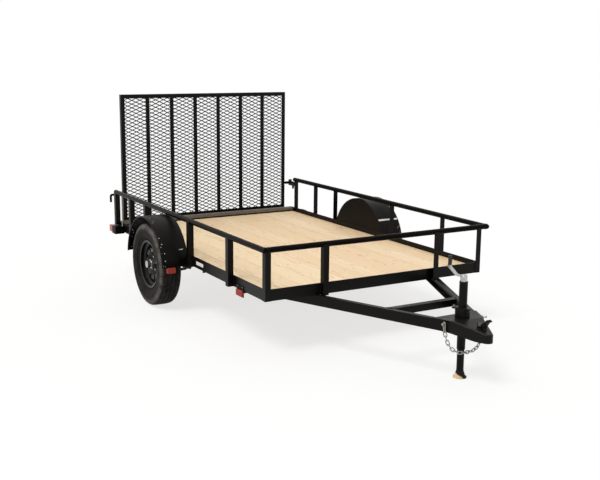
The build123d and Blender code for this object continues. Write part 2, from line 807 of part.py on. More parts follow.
def gate_latches():
    low, high = latch_height - latch_tall / 2, latch_height + latch_tall / 2
    ledge = rail_height - rail_radius
    post_web = bed_rear + rear_post_setback + post_leg - post_wall
    ear_x = bed_rear - latch_ear_gap
    end = gate_half + latch_clearance
    reach = side + latch_reach
    # plate welded to the rear post, its ear rising behind the end of the rail
    outline = Polyline((post_web, low), (post_web, ledge), (ear_x, ledge), (ear_x, rail_height),
                       (ear_x - latch_ear / 2, rail_height), (gate_back_x, high), (gate_back_x, low), close=True)
    plane = Plane(origin=(0, side + latch_plate, 0), x_dir=(1, 0, 0), z_dir=(0, -1, 0))
    plate = extrude(plane * make_face(outline), latch_plate)
    sleeve = rod(latch_sleeve_radius, (hinge_x, end + latch_nose, latch_height), (hinge_x, side, latch_height))
    path = FilletPolyline((hinge_x, end, latch_height), (hinge_x, reach, latch_height),
                          (hinge_x, reach, latch_height - latch_handle), radius=latch_bend)
    pin = sweep(Plane(origin=path @ 0, z_dir=path % 0) * Circle(latch_pin_radius), path=path)
    latch = plate + sleeve + pin
    return group([mirrored(latch, s) for s in sides.values()])


# Lamps: boxed tail lamps beside the rear posts, markers on the fenders and under the frame's sides
def tail_box():
    length, width, height = tail_lamp
    start = bed_rear + tail_lens - tail_lens_overhang
    return block((start, bed_rear + length), (side, side + width), (tail_bottom, tail_top))


def tail_lens_cover():
    length, width, height = tail_lamp
    rear = bed_rear - tail_lens_overhang
    lens = block((rear, rear + tail_lens), (side + lens_inset, side + width - lens_inset),
                 (tail_bottom + lens_inset, tail_top - lens_inset))
    return fillet(lens.faces().sort_by(Axis.X)[0].edges(), tail_lens_round)


marker_y = side + fender_width - marker_inset
marker_x = axle_x + fender_radius + marker_base
marker_z = fender_end_height - marker_drop


def fender_marker_base():
    depth, width, height = marker_lens
    body = block((axle_x + fender_radius - marker_overlap, marker_x), (marker_y - width, marker_y),
                 (marker_z - height / 2, fender_end_height + height / 2))
    return body - rod(fender_radius + marker_gap, (axle_x, side, axle_z), (axle_x, side + fender_width, axle_z))


def fender_marker_lens():
    depth, width, height = marker_lens
    lens = block((marker_x, marker_x + depth), (marker_y - width, marker_y),
                 (marker_z - height / 2, marker_z + height / 2))
    return fillet(lens.faces().sort_by(Axis.X)[-1].edges(), marker_round)


side_marker_x = bed_rear + fifth_post_setback + side_marker_reach
side_marker_top = frame_bottom + side_marker_lap


def side_marker_bracket():
    length, thick, height = side_marker_plate
    return block((side_marker_x, side_marker_x + length), (side, side + thick),
                 (side_marker_top - height, side_marker_top))


def side_marker_cover():
    length, thick, height = side_marker_lens
    start = side_marker_x + (side_marker_plate[0] - length) / 2
    face = side + side_marker_plate[1]
    low = side_marker_top - side_marker_plate[2] + lens_inset
    lens = block((start, start + length), (face, face + thick), (low, low + height))
    return fillet(lens.faces().sort_by(Axis.Y)[-1].edges(), marker_round)


# Safety chain: flat-sided links strung along a sagging line from a bolt in the leg to the front of the jack
def chain_link():
    outer = link_outline(chain_inner + 2 * chain_wire, chain_width)
    hole = link_outline(chain_inner, chain_width - 2 * chain_wire)
    return extrude(outer - hole, chain_wire / 2, both=True)


def link_outline(length, width):
    """Six-cornered outline of a link, long sides straight."""
    flat = (length - width) / 2
    return make_face(Polyline((length / 2, 0), (flat, width / 2), (-flat, width / 2), (-length / 2, 0),
                              (-flat, -width / 2), (flat, -width / 2), close=True))


def safety_chain():
    bolt_x = bed_front + nose_reach - chain_bolt_setback
    bolt = Vector(bolt_x, leg_outside(bolt_x), tongue_top - chain_bolt_drop)
    bolt_plane = Plane(origin=bolt, z_dir=-inward)
    shank = extrude(bolt_plane * RegularPolygon(chain_bolt_radius, 6), chain_bolt_length)
    head_plane = bolt_plane.offset(chain_bolt_length)
    head = extrude(head_plane * RegularPolygon(2 * chain_bolt_radius, 6), chain_bolt_head)
    hang = Vector(0, 0, chain_inner / 2 - chain_bolt_radius - chain_slack)
    start = bolt - inward * (chain_bolt_length / 2) - hang
    middle = Vector(jack_x + chain_mid_reach, chain_width, chain_mid_height)
    steps = 400
    points = []
    for i in range(steps + 1):
        t = i / steps
        points.append(Vector(start.X + (middle.X - start.X) * t, start.Y + (middle.Y - start.Y) * t ** 2,
                             middle.Z + (start.Z - middle.Z) * (1 - t) ** 2))
    pitch = chain_inner - chain_slack
    link = chain_link()
    shapes = []
    travelled = 0.0
    for a, b in zip(points, points[1:]):
        if travelled >= pitch * len(shapes):
            direction = (b - a).normalized()
            level = Vector(0, 0, 1).cross(direction).normalized()
            across = direction.cross(level) if len(shapes) % 2 else level
            shapes.append(Plane(origin=a, x_dir=direction, z_dir=across) * link)
        travelled += (b - a).length
    return group([shank + head] + shapes)


os.makedirs("parts", exist_ok=True)

# Pieces made once
for name, shape in {
    "frame_front": frame_front(),
    "frame_rear": frame_rear(),
    "crossmembers": crossmembers(),
    "deck_planks": deck_planks(),
    "posts_front": posts_front(),
    "rail_front": rail_front(),
    "axle": axle(),
    "tongue_brace": tongue_brace(),
    "coupler_body": coupler_body(),
    "coupler_lever": coupler_lever(),
    "jack_tube": jack_tube(),
    "jack_leg": jack_leg(),
    "jack_foot": jack_foot(),
    "jack_crank": jack_crank(),
    "jack_grip": jack_grip(),
    "gate_frame": gate_frame(),
    "gate_bars": gate_bars(),
    "gate_mesh": gate_mesh(),
    "hinge_barrels": hinge_barrels(),
    "hinge_pins": hinge_pins(),
    "gate_latches": gate_latches(),
}.items():
    save(shape, name)

# Pieces made for the left side and mirrored for the right
for name, shape in {
    "frame_side": frame_side(),
    "posts": posts_side(),
    "rail": rail_side(),
    "fender": fender(),
    "leaf_spring": leaf_spring(),
    "spring_hangers": spring_hangers(),
    "axle_clamp": axle_clamp(),
    "tyre": tyre(),
    "rim": rim(),
    "hub": hub(),
    "tongue_leg": tongue_leg(),
    "tail_lamp": tail_box(),
    "tail_lens": tail_lens_cover(),
    "fender_marker": fender_marker_base(),
    "fender_marker_lens": fender_marker_lens(),
    "side_marker": side_marker_bracket(),
    "side_marker_lens": side_marker_cover(),
    "safety_chain": safety_chain(),
}.items():
    for word, s in sides.items():
        save(mirrored(shape, s), f"{name}_{word}")
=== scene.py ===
from math import asin, cos, pi, radians, sin, tan

import bpy
from mathutils import Matrix, Vector


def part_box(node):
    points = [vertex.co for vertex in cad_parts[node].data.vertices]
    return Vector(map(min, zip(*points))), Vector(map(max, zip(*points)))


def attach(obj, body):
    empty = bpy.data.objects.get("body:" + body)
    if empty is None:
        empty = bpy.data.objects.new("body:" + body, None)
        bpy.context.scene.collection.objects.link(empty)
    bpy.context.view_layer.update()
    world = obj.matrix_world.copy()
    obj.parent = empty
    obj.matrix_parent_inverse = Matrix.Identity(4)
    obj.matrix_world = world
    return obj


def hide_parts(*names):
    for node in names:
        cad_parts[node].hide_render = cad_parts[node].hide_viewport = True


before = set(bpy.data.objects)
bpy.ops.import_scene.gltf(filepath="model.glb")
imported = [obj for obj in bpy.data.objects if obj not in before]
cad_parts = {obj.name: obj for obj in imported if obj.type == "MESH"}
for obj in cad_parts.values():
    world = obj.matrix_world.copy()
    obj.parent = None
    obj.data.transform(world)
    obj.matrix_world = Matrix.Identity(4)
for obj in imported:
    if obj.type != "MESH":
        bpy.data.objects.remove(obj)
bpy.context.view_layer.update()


# Bed frame
# Rolled steel angle with a box sill at the rear, welded up and shot-blasted.
# The whole frame is then sprayed with black powder and baked, which leaves a thin, even, half-gloss skin.
frame_low, frame_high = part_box("frame_side_right")
bed_rear, bed_front = frame_low.x, frame_high.x
frame_bottom, frame_top = frame_low.z, frame_high.z
side = -frame_low.y


def linear(code):
    """Linear colour, with alpha, of an sRGB hex code."""
    parts = [int(code[i:i + 2], 16) / 255 for i in (1, 3, 5)]
    return tuple(c / 12.92 if c <= 0.04045 else ((c + 0.055) / 1.055) ** 2.4 for c in parts) + (1.0,)


def add(tree, kind, sockets=None, **settings):
    """Adds a shader node, sets its properties, and fills or links its input sockets."""
    node = tree.nodes.new("ShaderNode" + kind)
    for name, value in settings.items():
        setattr(node, name, value)
    for key, value in (sockets or {}).items():
        if isinstance(value, bpy.types.NodeSocket):
            tree.links.new(value, node.inputs[key])
        else:
            node.inputs[key].default_value = value
    return node


def start_material(name):
    """A new material with its node tree and its surface shader."""
    material = bpy.data.materials.new(name)
    material.use_nodes = True
    return material, material.node_tree, material.node_tree.nodes["Principled BSDF"]


def finish_with(material, *names):
    """Gives CAD pieces their finish."""
    for name in names:
        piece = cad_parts[name]
        piece.data.materials.clear()
        piece.data.materials.append(material)


def powder_coat(name, colour, wear_and_highlight, gloss, dust, shine):
    """Black skin, baked or moulded: faint orange peel, dust on what faces up, and paler corners, part wear and part
    painted highlight.
    """
    material, tree, shader = start_material(name)
    place = add(tree, "TexCoord").outputs["Object"]
    # orange peel is drawn coarser than the real one, about 1 mm, so that it shows
    peel_mm, patch_mm, corner_mm = 3.0, 260.0, 2.5
    dust_colour, edge_highlight_share = "#5E574E", 0.35
    peel = add(tree, "TexNoise", {"Vector": place, "Scale": 1000 / peel_mm, "Detail": 2.0})
    patch = add(tree, "TexNoise", {"Vector": place, "Scale": 1000 / patch_mm, "Detail": 5.0, "Roughness": 0.6})
    rounded = add(tree, "Bevel", {"Radius": corner_mm / 1000}, samples=4)
    flat = add(tree, "NewGeometry")
    turn = add(tree, "VectorMath", {0: rounded.outputs["Normal"], 1: flat.outputs["Normal"]},
               operation="DOT_PRODUCT")
    # the corner mask paints a highlight along every edge, partly standing for thin, chafed skin
    corner = add(tree, "MapRange", {"Value": turn.outputs["Value"], "From Min": 0.999, "From Max": 0.8})
    facing = add(tree, "SeparateXYZ", {0: flat.outputs["Normal"]})
    upward = add(tree, "MapRange", {"Value": facing.outputs["Z"], "From Min": 0.2, "From Max": 1.0,
                                    "To Max": dust})
    settled = add(tree, "Math", {0: upward.outputs["Result"], 1: patch.outputs["Fac"]}, operation="MULTIPLY")
    skin = add(tree, "Mix", {"Factor": settled.outputs["Value"], 6: linear(colour), 7: linear(dust_colour)},
               data_type="RGBA")
    edge = add(tree, "Math", {0: corner.outputs["Result"], 1: edge_highlight_share}, operation="MULTIPLY")
    tint = add(tree, "Mix", {"Factor": edge.outputs["Value"], 6: skin.outputs[2], 7: linear(wear_and_highlight)},
               data_type="RGBA")
    rough = add(tree, "MapRange", {"Value": patch.outputs["Fac"], "From Min": 0.3, "From Max": 0.7,
                                   "To Min": gloss - 0.06, "To Max": gloss + 0.08})
    relief = add(tree, "Bump", {"Height": peel.outputs["Fac"], "Strength": 0.12, "Distance": 0.0003,
                                "Normal": rounded.outputs["Normal"]})
    tree.links.new(tint.outputs[2], shader.inputs["Base Color"])
    tree.links.new(rough.outputs["Result"], shader.inputs["Roughness"])
    tree.links.new(relief.outputs["Normal"], shader.inputs["Normal"])
    shader.inputs["Specular IOR Level"].default_value = shine
    return material


# Half-gloss black: nearly no colour of its own, so the eye reads edges and soft reflections.
frame_paint = powder_coat("black_powder_coat", "#070504", "#231E1A", gloss=0.36, dust=0.1, shine=0.13)
finish_with(frame_paint, "frame_front", "frame_side_right", "frame_side_left", "crossmembers")


def two_coats(name, lower, upper, level, blend, roughness, rise=(0, 0, 1)):
    """One colour over another along a ragged line at a level, measured along rise; used for clay on the jack's foot and
    for chafed paint with a painted highlight.
    """
    material, tree, shader = start_material(name)
    place = add(tree, "TexCoord").outputs["Object"]
    # the grain is coarser than real dust, so that it shows
    ragged_mm, grain_mm = 30.0, 4.0
    above = add(tree, "VectorMath", {0: place, 1: rise}, operation="DOT_PRODUCT")
    ragged = add(tree, "TexNoise", {"Vector": place, "Scale": 1000 / ragged_mm, "Detail": 4.0})
    grain = add(tree, "TexNoise", {"Vector": place, "Scale": 1000 / grain_mm, "Detail": 3.0})
    sway = add(tree, "MapRange", {"Value": ragged.outputs["Fac"], "To Min": -blend, "To Max": blend})
    height = add(tree, "Math", {0: above.outputs["Value"], 1: sway.outputs["Result"]}, operation="ADD")
    share = add(tree, "MapRange", {"Value": height.outputs[0], "From Min": level - blend / 2,
                                   "From Max": level + blend / 2})
    tint = add(tree, "Mix", {"Factor": share.outputs["Result"], 6: linear(lower), 7: linear(upper)},
               data_type="RGBA")
    gloss = add(tree, "MapRange", {"Value": grain.outputs["Fac"], "To Min": roughness - 0.1,
                                   "To Max": roughness + 0.1})
    bump = add(tree, "Bump", {"Height": grain.outputs["Fac"], "Strength": 0.15, "Distance": 0.0004})
    tree.links.new(tint.outputs[2], shader.inputs["Base Color"])
    tree.links.new(gloss.outputs["Result"], shader.inputs["Roughness"])
    tree.links.new(bump.outputs["Normal"], shader.inputs["Normal"])
    shader.inputs["Specular IOR Level"].default_value = 0.2
    return material


# Black paint with a pale band along the sill's upper edge by the deck: part paint chafed through to primer, part a
# painted highlight on the sill's top.
sill_pale_band_level, sill_blend = 0.471, 0.006
finish_with(two_coats("sill_paint_wear_and_painted_highlight", "#0B0908", "#77716A", sill_pale_band_level, sill_blend, roughness=0.45), "frame_rear")


# Deck boards
# Ten softwood boards laid lengthwise, planed, with eased edges, and screwed down to every crossmember.
# Clear-finished yellow pine: honey-coloured early wood, darker rings in long flames and a few round knots.
board_count = 10
board_gap = 0.004
board_low, board_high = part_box("deck_planks")
board_pitch = (board_high.y - board_low.y + board_gap) / board_count
board_width = board_pitch - board_gap


def mesh_piece(name, shape, material, body, smooth_angle=None, replaced=()):
    """A mesh object from corners and faces that rides a body, shaded flat or smooth up to an angle in degrees."""
    corners, faces = shape
    mesh = bpy.data.meshes.new(name)
    mesh.from_pydata([tuple(c) for c in corners], [], faces)
    mesh.validate()
    mesh.materials.append(material)
    piece = bpy.data.objects.new(name, mesh)
    bpy.context.scene.collection.objects.link(piece)
    if smooth_angle:
        mesh.shade_smooth()
        mesh.set_sharp_from_angle(angle=radians(smooth_angle))
    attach(piece, body)
    for node in replaced:
        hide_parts(node)


def strip(rings, closed=False):
    """Faces between rows of equally many points, each row a closed loop; the ends are capped unless it closes."""
    size = len(rings[0])
    count = len(rings)
    faces = []
    for i in range(count if closed else count - 1):
        a, b = i * size, (i + 1) % count * size
        for k in range(size):
            n = (k + 1) % size
            faces.append((a + k, a + n, b + n, b + k))
    if not closed:
        faces.append(tuple(reversed(range(size))))
        faces.append(tuple(range((count - 1) * size, count * size)))
    return [p for ring in rings for p in ring], faces


def gathered(shapes):
    """Corners and faces of many shapes, put together for one piece."""
    corners, faces = [], []
    for shape_corners, shape_faces in shapes:
        base = len(corners)
        corners += shape_corners
        faces += [tuple(base + k for k in face) for face in shape_faces]
    return corners, faces


# a direction that no turned piece and no weld takes
aslant = (0.31, 0.52, 0.79)


def turned(rows, origin, axis, sides):
    """Shape turned about an axis through origin; each row gives a height along the axis and a radius."""
    axis = Vector(axis).normalized()
    across = axis.cross(aslant).normalized()
    up = axis.cross(across)
    spokes = [across * cos(2 * pi * k / sides) + up * sin(2 * pi * k / sides) for k in range(sides)]
    return strip([[Vector(origin) + axis * height + spoke * radius for spoke in spokes] for height, radius in rows])


def pine():
    """Planed pine, its rings cut lengthwise so that they show as long flames, different on each board."""
    material, tree, shader = start_material("planed_yellow_pine")
    place = add(tree, "TexCoord").outputs["Object"]
    axes = add(tree, "SeparateXYZ", {0: place})
    # rings and fibres are drawn coarser than in real pine, so that they show
    ring_mm, wander_mm, knot_mm, knot_squeeze = 9.0, 34.0, 330.0, 1.7
    fibre_mm, fibre_long_mm, flame_mm, flame_wide_mm = 1.6, 71.43, 900.0, 166.67
    early_colours, late_colour, fibre_colour, knot_colour = ("#EBCFA9", "#F2DCB9"), "#C79F6C", "#B98F5E", "#8A5A31"
    ring_share, fibre_share, knots_left_out, board_shift = 0.42, 0.22, 0.72, 20.0
    across = add(tree, "Math", {0: axes.outputs["Y"], 1: board_low.y}, operation="SUBTRACT")
    row = add(tree, "Math", {0: across.outputs[0], 1: board_pitch}, operation="DIVIDE")
    board = add(tree, "Math", {0: row.outputs[0]}, operation="FLOOR")
    chance = add(tree, "TexWhiteNoise", {"W": board.outputs[0]}, noise_dimensions="1D")
    dice = add(tree, "SeparateColor", {0: chance.outputs["Color"]})
    shift = add(tree, "VectorMath", {0: chance.outputs["Color"], "Scale": board_shift}, operation="SCALE")
    moved = add(tree, "VectorMath", {0: place, 1: shift.outputs[0]}, operation="ADD")
    stretch = add(tree, "VectorMath", {0: moved.outputs[0], 1: (1000 / flame_mm, 1000 / flame_wide_mm,
                                                                1000 / flame_wide_mm)}, operation="MULTIPLY")
    wander = add(tree, "TexNoise", {"Vector": stretch.outputs[0], "Scale": 1.0, "Detail": 3.0})
    drift = add(tree, "MapRange", {"Value": wander.outputs["Fac"], "To Min": -wander_mm / 1000,
                                   "To Max": wander_mm / 1000})
    heart = add(tree, "MapRange", {"Value": dice.outputs[0], "To Min": 0.1, "To Max": 0.9})
    middle = add(tree, "Math", {0: board.outputs[0], 1: heart.outputs["Result"]}, operation="ADD")
    offset = add(tree, "Math", {0: row.outputs[0], 1: middle.outputs[0]}, operation="SUBTRACT")
    aside = add(tree, "Math", {0: offset.outputs[0], 1: board_pitch}, operation="MULTIPLY")
    depth = add(tree, "MapRange", {"Value": dice.outputs[1], "To Min": 0.03, "To Max": 0.11})
    below = add(tree, "Math", {0: depth.outputs["Result"], 1: drift.outputs["Result"]}, operation="ADD")
    spot = add(tree, "CombineXYZ", {"Y": aside.outputs[0], "Z": below.outputs[0]})
    reach = add(tree, "VectorMath", {0: spot.outputs[0]}, operation="LENGTH")
    turns = add(tree, "Math", {0: reach.outputs["Value"], 1: 1000 / ring_mm}, operation="MULTIPLY")
    ring = add(tree, "Math", {0: turns.outputs[0]}, operation="FRACT")
    late = add(tree, "MapRange", {"Value": ring.outputs[0], "From Min": 0.35, "From Max": 0.95},
               interpolation_type="SMOOTHSTEP")
    fibres = add(tree, "VectorMath", {0: moved.outputs[0], 1: (1000 / fibre_long_mm, 1000 / fibre_mm,
                                                               1000 / fibre_mm)}, operation="MULTIPLY")
    fibre = add(tree, "TexNoise", {"Vector": fibres.outputs[0], "Scale": 1.0, "Detail": 3.0})
    cells = add(tree, "VectorMath", {0: moved.outputs[0], 1: (1000 / knot_mm, knot_squeeze * 1000 / knot_mm, 0.0)},
                operation="MULTIPLY")
    knots = add(tree, "TexVoronoi", {"Vector": cells.outputs[0], "Scale": 1.0})
    kept = add(tree, "SeparateColor", {0: knots.outputs["Color"]})
    wanted = add(tree, "Math", {0: kept.outputs[0], 1: knots_left_out}, operation="GREATER_THAN")
    core = add(tree, "MapRange", {"Value": knots.outputs["Distance"], "From Min": 0.075, "From Max": 0.03},
               interpolation_type="SMOOTHSTEP")
    knot = add(tree, "Math", {0: core.outputs["Result"], 1: wanted.outputs[0]}, operation="MULTIPLY")
    early = add(tree, "Mix", {"Factor": dice.outputs[2], 6: linear(early_colours[0]), 7: linear(early_colours[1])},
                data_type="RGBA")
    banded = add(tree, "Math", {0: late.outputs["Result"], 1: ring_share}, operation="MULTIPLY")
    rings = add(tree, "Mix", {"Factor": banded.outputs[0], 6: early.outputs[2], 7: linear(late_colour)},
                data_type="RGBA")
    thread = add(tree, "MapRange", {"Value": fibre.outputs["Fac"], "From Min": 0.35, "From Max": 0.75,
                                    "To Max": fibre_share})
    grain = add(tree, "Mix", {"Factor": thread.outputs["Result"], 6: rings.outputs[2], 7: linear(fibre_colour)},
                data_type="RGBA")
    colour = add(tree, "Mix", {"Factor": knot.outputs[0], 6: grain.outputs[2], 7: linear(knot_colour)},
                 data_type="RGBA")
    relief = add(tree, "Math", {0: late.outputs["Result"], 1: fibre.outputs["Fac"]}, operation="ADD")
    bump = add(tree, "Bump", {"Height": relief.outputs[0], "Strength": 0.25, "Distance": 0.0006})
    tree.links.new(colour.outputs[2], shader.inputs["Base Color"])
    tree.links.new(bump.outputs["Normal"], shader.inputs["Normal"])
    shader.inputs["Roughness"].default_value = 0.62
    shader.inputs["Specular IOR Level"].default_value = 0.35
    return material


def eased_section(y, width, low, high, ease, cup):
    """Outline of a board's end: rounded along its edges and a little hollow across its face."""
    points = []
    for corner_y, corner_z, start in ((y + ease, low + ease, 180), (y + width - ease, low + ease, 270),
                                      (y + width - ease, high - ease, 0), (y + ease, high - ease, 90)):
        for step in range(4):
            a = radians(start + 30 * step)
            points.append((corner_y + ease * cos(a), corner_z + ease * sin(a)))
    # after three corners of four points, halfway along the top
    points.insert(12, (y + width / 2, high - cup))
    return points


board_ease, board_cup, cup_spread = 0.0035, 0.0008, 0.0004
boards = []
for i in range(board_count):
    section = eased_section(board_low.y + i * board_pitch, board_width, board_low.z, board_high.z,
                            board_ease, board_cup + cup_spread * (i % 3))
    boards.append(strip([[(x, y, z) for y, z in section] for x in (board_low.x, board_high.x)]))
mesh_piece("deck_boards", gathered(boards), pine(), "trailer", 40, ["deck_planks"])


def plated_steel(name, colour, shade, roughness):
    """Zinc-plated steel: bright, slightly clouded, with fine mottling in its gloss."""
    material, tree, shader = start_material(name)
    place = add(tree, "TexCoord").outputs["Object"]
    cloud_mm = 14.0
    cloud = add(tree, "TexNoise", {"Vector": place, "Scale": 1000 / cloud_mm, "Detail": 4.0})
    tint = add(tree, "Mix", {"Factor": cloud.outputs["Fac"], 6: linear(colour), 7: linear(shade)},
               data_type="RGBA")
    gloss = add(tree, "MapRange", {"Value": cloud.outputs["Fac"], "To Min": roughness - 0.08,
                                   "To Max": roughness + 0.12})
    tree.links.new(tint.outputs[2], shader.inputs["Base Color"])
    tree.links.new(gloss.outputs["Result"], shader.inputs["Roughness"])
    shader.inputs["Metallic"].default_value = 1.0
    return material


# Countersunk deck screws, two to a board at each crossmember, with a driver recess in the head
crossmember_count = 7
sill_depth, lip_width = 0.051, 0.051
screw_radius, screw_recess, screw_shares = 0.0055, 0.0022, (0.2, 0.8)
# columns: height above the board, radius
screw_rows = [(-0.003, screw_radius * 0.5), (0.0002, screw_radius), (0.0006, screw_radius * 0.92),
              (0.0006, screw_recess), (-0.0016, screw_recess * 0.6)]
span_x = bed_front - lip_width - bed_rear - sill_depth
screws = []
for i in range(crossmember_count):
    screw_x = bed_rear + sill_depth + span_x * (i + 1) / (crossmember_count + 1)
    for k in range(board_count):
        for share in screw_shares:
            screw_y = board_low.y + k * board_pitch + share * board_width
            screws.append(turned(screw_rows, (screw_x, screw_y, board_high.z), (0, 0, 1), 12))
# Dulled yellow plating that sits quietly in the wood.
mesh_piece("deck_screws", gathered(screws), plated_steel("dull_zinc_screw", "#A98F63", "#7C6A4E", 0.45),
           "trailer", 40)


# Posts and rails
# Steel angle uprights welded outside the frame carry a round pipe rail; the rail's corners are mitred and welded.
# Painted with the frame in one coat, so the weld beads show as low black ripples.
finish_with(frame_paint, "posts_right", "posts_left", "posts_front")
# Rubbed smooth by hands and straps, so the pipe keeps a narrow light along its top.
pipe_paint = powder_coat("black_powder_coat_pipe", "#070504", "#231E1A", gloss=0.25, dust=0.1, shine=0.04)
finish_with(pipe_paint, "rail_right", "rail_left", "rail_front")
hands = {"right": -1, "left": 1}
post_leg, post_wall = 0.045, 0.0048
# columns: distance of a side post ahead of the bed's rear, height at which its weld begins
side_posts = ((0.027, 0.475), (0.428, frame_bottom), (0.809, frame_bottom), (1.770, frame_bottom),
              (2.495, frame_bottom))
front_post_half = 0.473
rail_radius, rail_offset, rail_sink = 0.021, 0.024, 0.002
rail_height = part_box("rail_front")[1].z - rail_radius
bead_radius, bead_step = 0.0038, 0.0024
mitre_bead, mitre_trough, mitre_steps = 0.0026, 0.00208, 96


def tube(points, radii, sides, up, closed=False):
    """Round bar along a line of points; up is a direction that the line never takes."""
    points = [Vector(point) for point in points]
    last = len(points) - 1
    rings = []
    for i, (point, radius) in enumerate(zip(points, radii)):
        before = points[i - 1] if closed or i else points[0]
        after = points[(i + 1) % len(points)] if closed else points[min(i + 1, last)]
        along = (after - before).normalized()
        across = along.cross(up).normalized()
        rise = along.cross(across)
        turn = [2 * pi * k / sides for k in range(sides)]
        rings.append([point + (across * cos(a) + rise * sin(a)) * radius for a in turn])
    return strip(rings, closed)


def bead(start, end, radius=bead_radius):
    """A rippled weld bead laid in a straight line, tapered at its ends."""
    start, end = Vector(start), Vector(end)
    steps = max(4, round((end - start).length / bead_step))
    trough, ripple, tip, taper = 0.84, 0.16, 0.55, 0.2
    points = [start.lerp(end, i / steps) for i in range(steps + 1)]
    radii = [radius * (trough + ripple * (i % 2)) * min(1.0, tip + taper * min(i, steps - i))
             for i in range(steps + 1)]
    return tube(points, radii, 8, aslant)


welds = []
for s in hands.values():
    for setback, foot in side_posts:
        web = bed_rear + setback + post_leg
        for x in (web - post_wall, web):
            welds.append(bead((x, s * side, foot), (x, s * side, frame_top)))
        rail_edge = s * (side + post_leg - rail_sink)
        welds.append(bead((web - post_leg, rail_edge, rail_height), (web, rail_edge, rail_height)))
    wrap = post_leg - post_wall
    welds.append(bead((bed_front - wrap, s * side, frame_bottom), (bed_front - wrap, s * side, frame_top)))
    welds.append(bead((bed_front, s * (side - wrap), frame_bottom), (bed_front, s * (side - wrap), frame_top)))
    for y in (front_post_half + post_leg - post_wall, front_post_half + post_leg):
        welds.append(bead((bed_front, s * y, frame_bottom), (bed_front, s * y, frame_top)))
    # ring of weld round the mitre of the rail's corner
    turn = [2 * pi * i / mitre_steps for i in range(mitre_steps)]
    mitre = [(bed_front + rail_offset + s * rail_radius * cos(a), s * (side + rail_offset) + rail_radius * cos(a),
              rail_height + rail_radius * sin(a)) for a in turn]
    radii = [mitre_bead if i % 2 else mitre_trough for i in range(mitre_steps)]
    welds.append(tube(mitre, radii, 6, (1, -s, 0), closed=True))
mesh_piece("post_welds", gathered(welds), frame_paint, "trailer", 60)


# Fenders
# Sheet steel rolled over the wheel with a rolled outer lip and a flat back plate stitch-welded to the frame.
# Sprayed black like the frame, with a strip of white tape across the left front and a short thin pale dash across the
# right.
fender_low, fender_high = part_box("fender_left")
axle_x = (fender_low.x + fender_high.x) / 2
axle_z = 0.352
fender_radius = fender_high.z - axle_z


def speckled(material, inner, outer):
    """Pale specks on a paint, in a band between two distances from the trailer's middle."""
    tree = material.node_tree
    shader = tree.nodes["Principled BSDF"]
    place = add(tree, "TexCoord").outputs["Object"]
    cell_mm, speck_mm, speck_colour = 24.0, 6.0, "#C4C0B8"
    speck_cells = add(tree, "TexVoronoi", {"Vector": place, "Scale": 1000 / cell_mm})
    spot = add(tree, "MapRange", {"Value": speck_cells.outputs["Distance"], "From Min": speck_mm / cell_mm,
                                  "From Max": 0.6 * speck_mm / cell_mm})
    axes = add(tree, "SeparateXYZ", {0: place})
    aside = add(tree, "Math", {0: axes.outputs["Y"]}, operation="ABSOLUTE")
    band = add(tree, "Math", {0: aside.outputs[0], 1: (inner + outer) / 2, 2: (outer - inner) / 2},
               operation="COMPARE")
    share = add(tree, "Math", {0: spot.outputs["Result"], 1: band.outputs[0]}, operation="MULTIPLY")
    clean = shader.inputs["Base Color"].links[0].from_socket
    tint = add(tree, "Mix", {"Factor": share.outputs[0], 6: clean, 7: linear(speck_colour)}, data_type="RGBA")
    tree.links.new(tint.outputs[2], shader.inputs["Base Color"])


# A soft sheen over the curve, and pale specks along the outer edge.
fender_paint = powder_coat("specked_black_powder_coat", "#090706", "#2F2A26", gloss=0.32, dust=0.1, shine=0.09)
speckled(fender_paint, inner=1.158, outer=1.184)
finish_with(fender_paint, "fender_right", "fender_left")
stitch_half, stitch_places = 0.03, (-0.33, -0.11, 0.11, 0.33)
stitches = []
for s in hands.values():
    for middle in (axle_x + place for place in stitch_places):
        stitches.append(bead((middle - stitch_half, s * side, frame_top), (middle + stitch_half, s * side, frame_top)))
mesh_piece("fender_welds", gathered(stitches), frame_paint, "trailer", 60)


def white_tape():
    """Retroreflective tape: off-white with a faint honeycomb of cells and a soft gloss."""
    material, tree, shader = start_material("white_reflective_tape")
    place = add(tree, "TexCoord").outputs["Object"]
    cell_mm = 3.0
    cell = add(tree, "TexVoronoi", {"Vector": place, "Scale": 1000 / cell_mm})
    tint = add(tree, "Mix", {"Factor": cell.outputs["Distance"], 6: linear("#F4F2EC"), 7: linear("#D9D6CE")},
               data_type="RGBA")
    tree.links.new(tint.outputs[2], shader.inputs["Base Color"])
    shader.inputs["Roughness"].default_value = 0.35
    return material


tape = white_tape()
tape_thick, tape_steps = 0.0008, 4
# the right strip is only a short thin pale dash across the right fender's front
# columns: side, inner and outer edge across the fender, lower and upper edge above the ground
tape_strips = (("left", 0.975, 1.185, 0.598, 0.611), ("right", 0.998, 1.030, 0.533, 0.537))
strips = []
for hand, inner, outer, low, high in tape_strips:
    rings = []
    for k in range(tape_steps + 1):
        level = low + (high - low) * k / tape_steps
        angle = asin((level - axle_z) / fender_radius)
        rings.append([(axle_x + (fender_radius + lift) * cos(angle), hands[hand] * y,
                       axle_z + (fender_radius + lift) * sin(angle))
                      for lift, y in ((0.0, inner), (tape_thick, inner), (tape_thick, outer), (0.0, outer))])
    strips.append(strip(rings if hands[hand] > 0 else [ring[::-1] for ring in rings]))
# White plate on the right side of the frame, just ahead of the fourth post
plate_x, plate_z, plate_thick, plate_ease = (-0.257, -0.120), (0.442, 0.470), 0.0012, 0.004
outline = [(plate_x[0] + plate_ease, plate_z[0]), (plate_x[1] - plate_ease, plate_z[0]),
           (plate_x[1], plate_z[0] + plate_ease), (plate_x[1], plate_z[1] - plate_ease),
           (plate_x[1] - plate_ease, plate_z[1]), (plate_x[0] + plate_ease, plate_z[1]),
           (plate_x[0], plate_z[1] - plate_ease), (plate_x[0], plate_z[0] + plate_ease)]
strips.append(strip([[(x, -side - lift, z) for x, z in outline] for lift in (0.0, plate_thick)]))
mesh_piece("reflective_tape", gathered(strips), tape, "trailer")


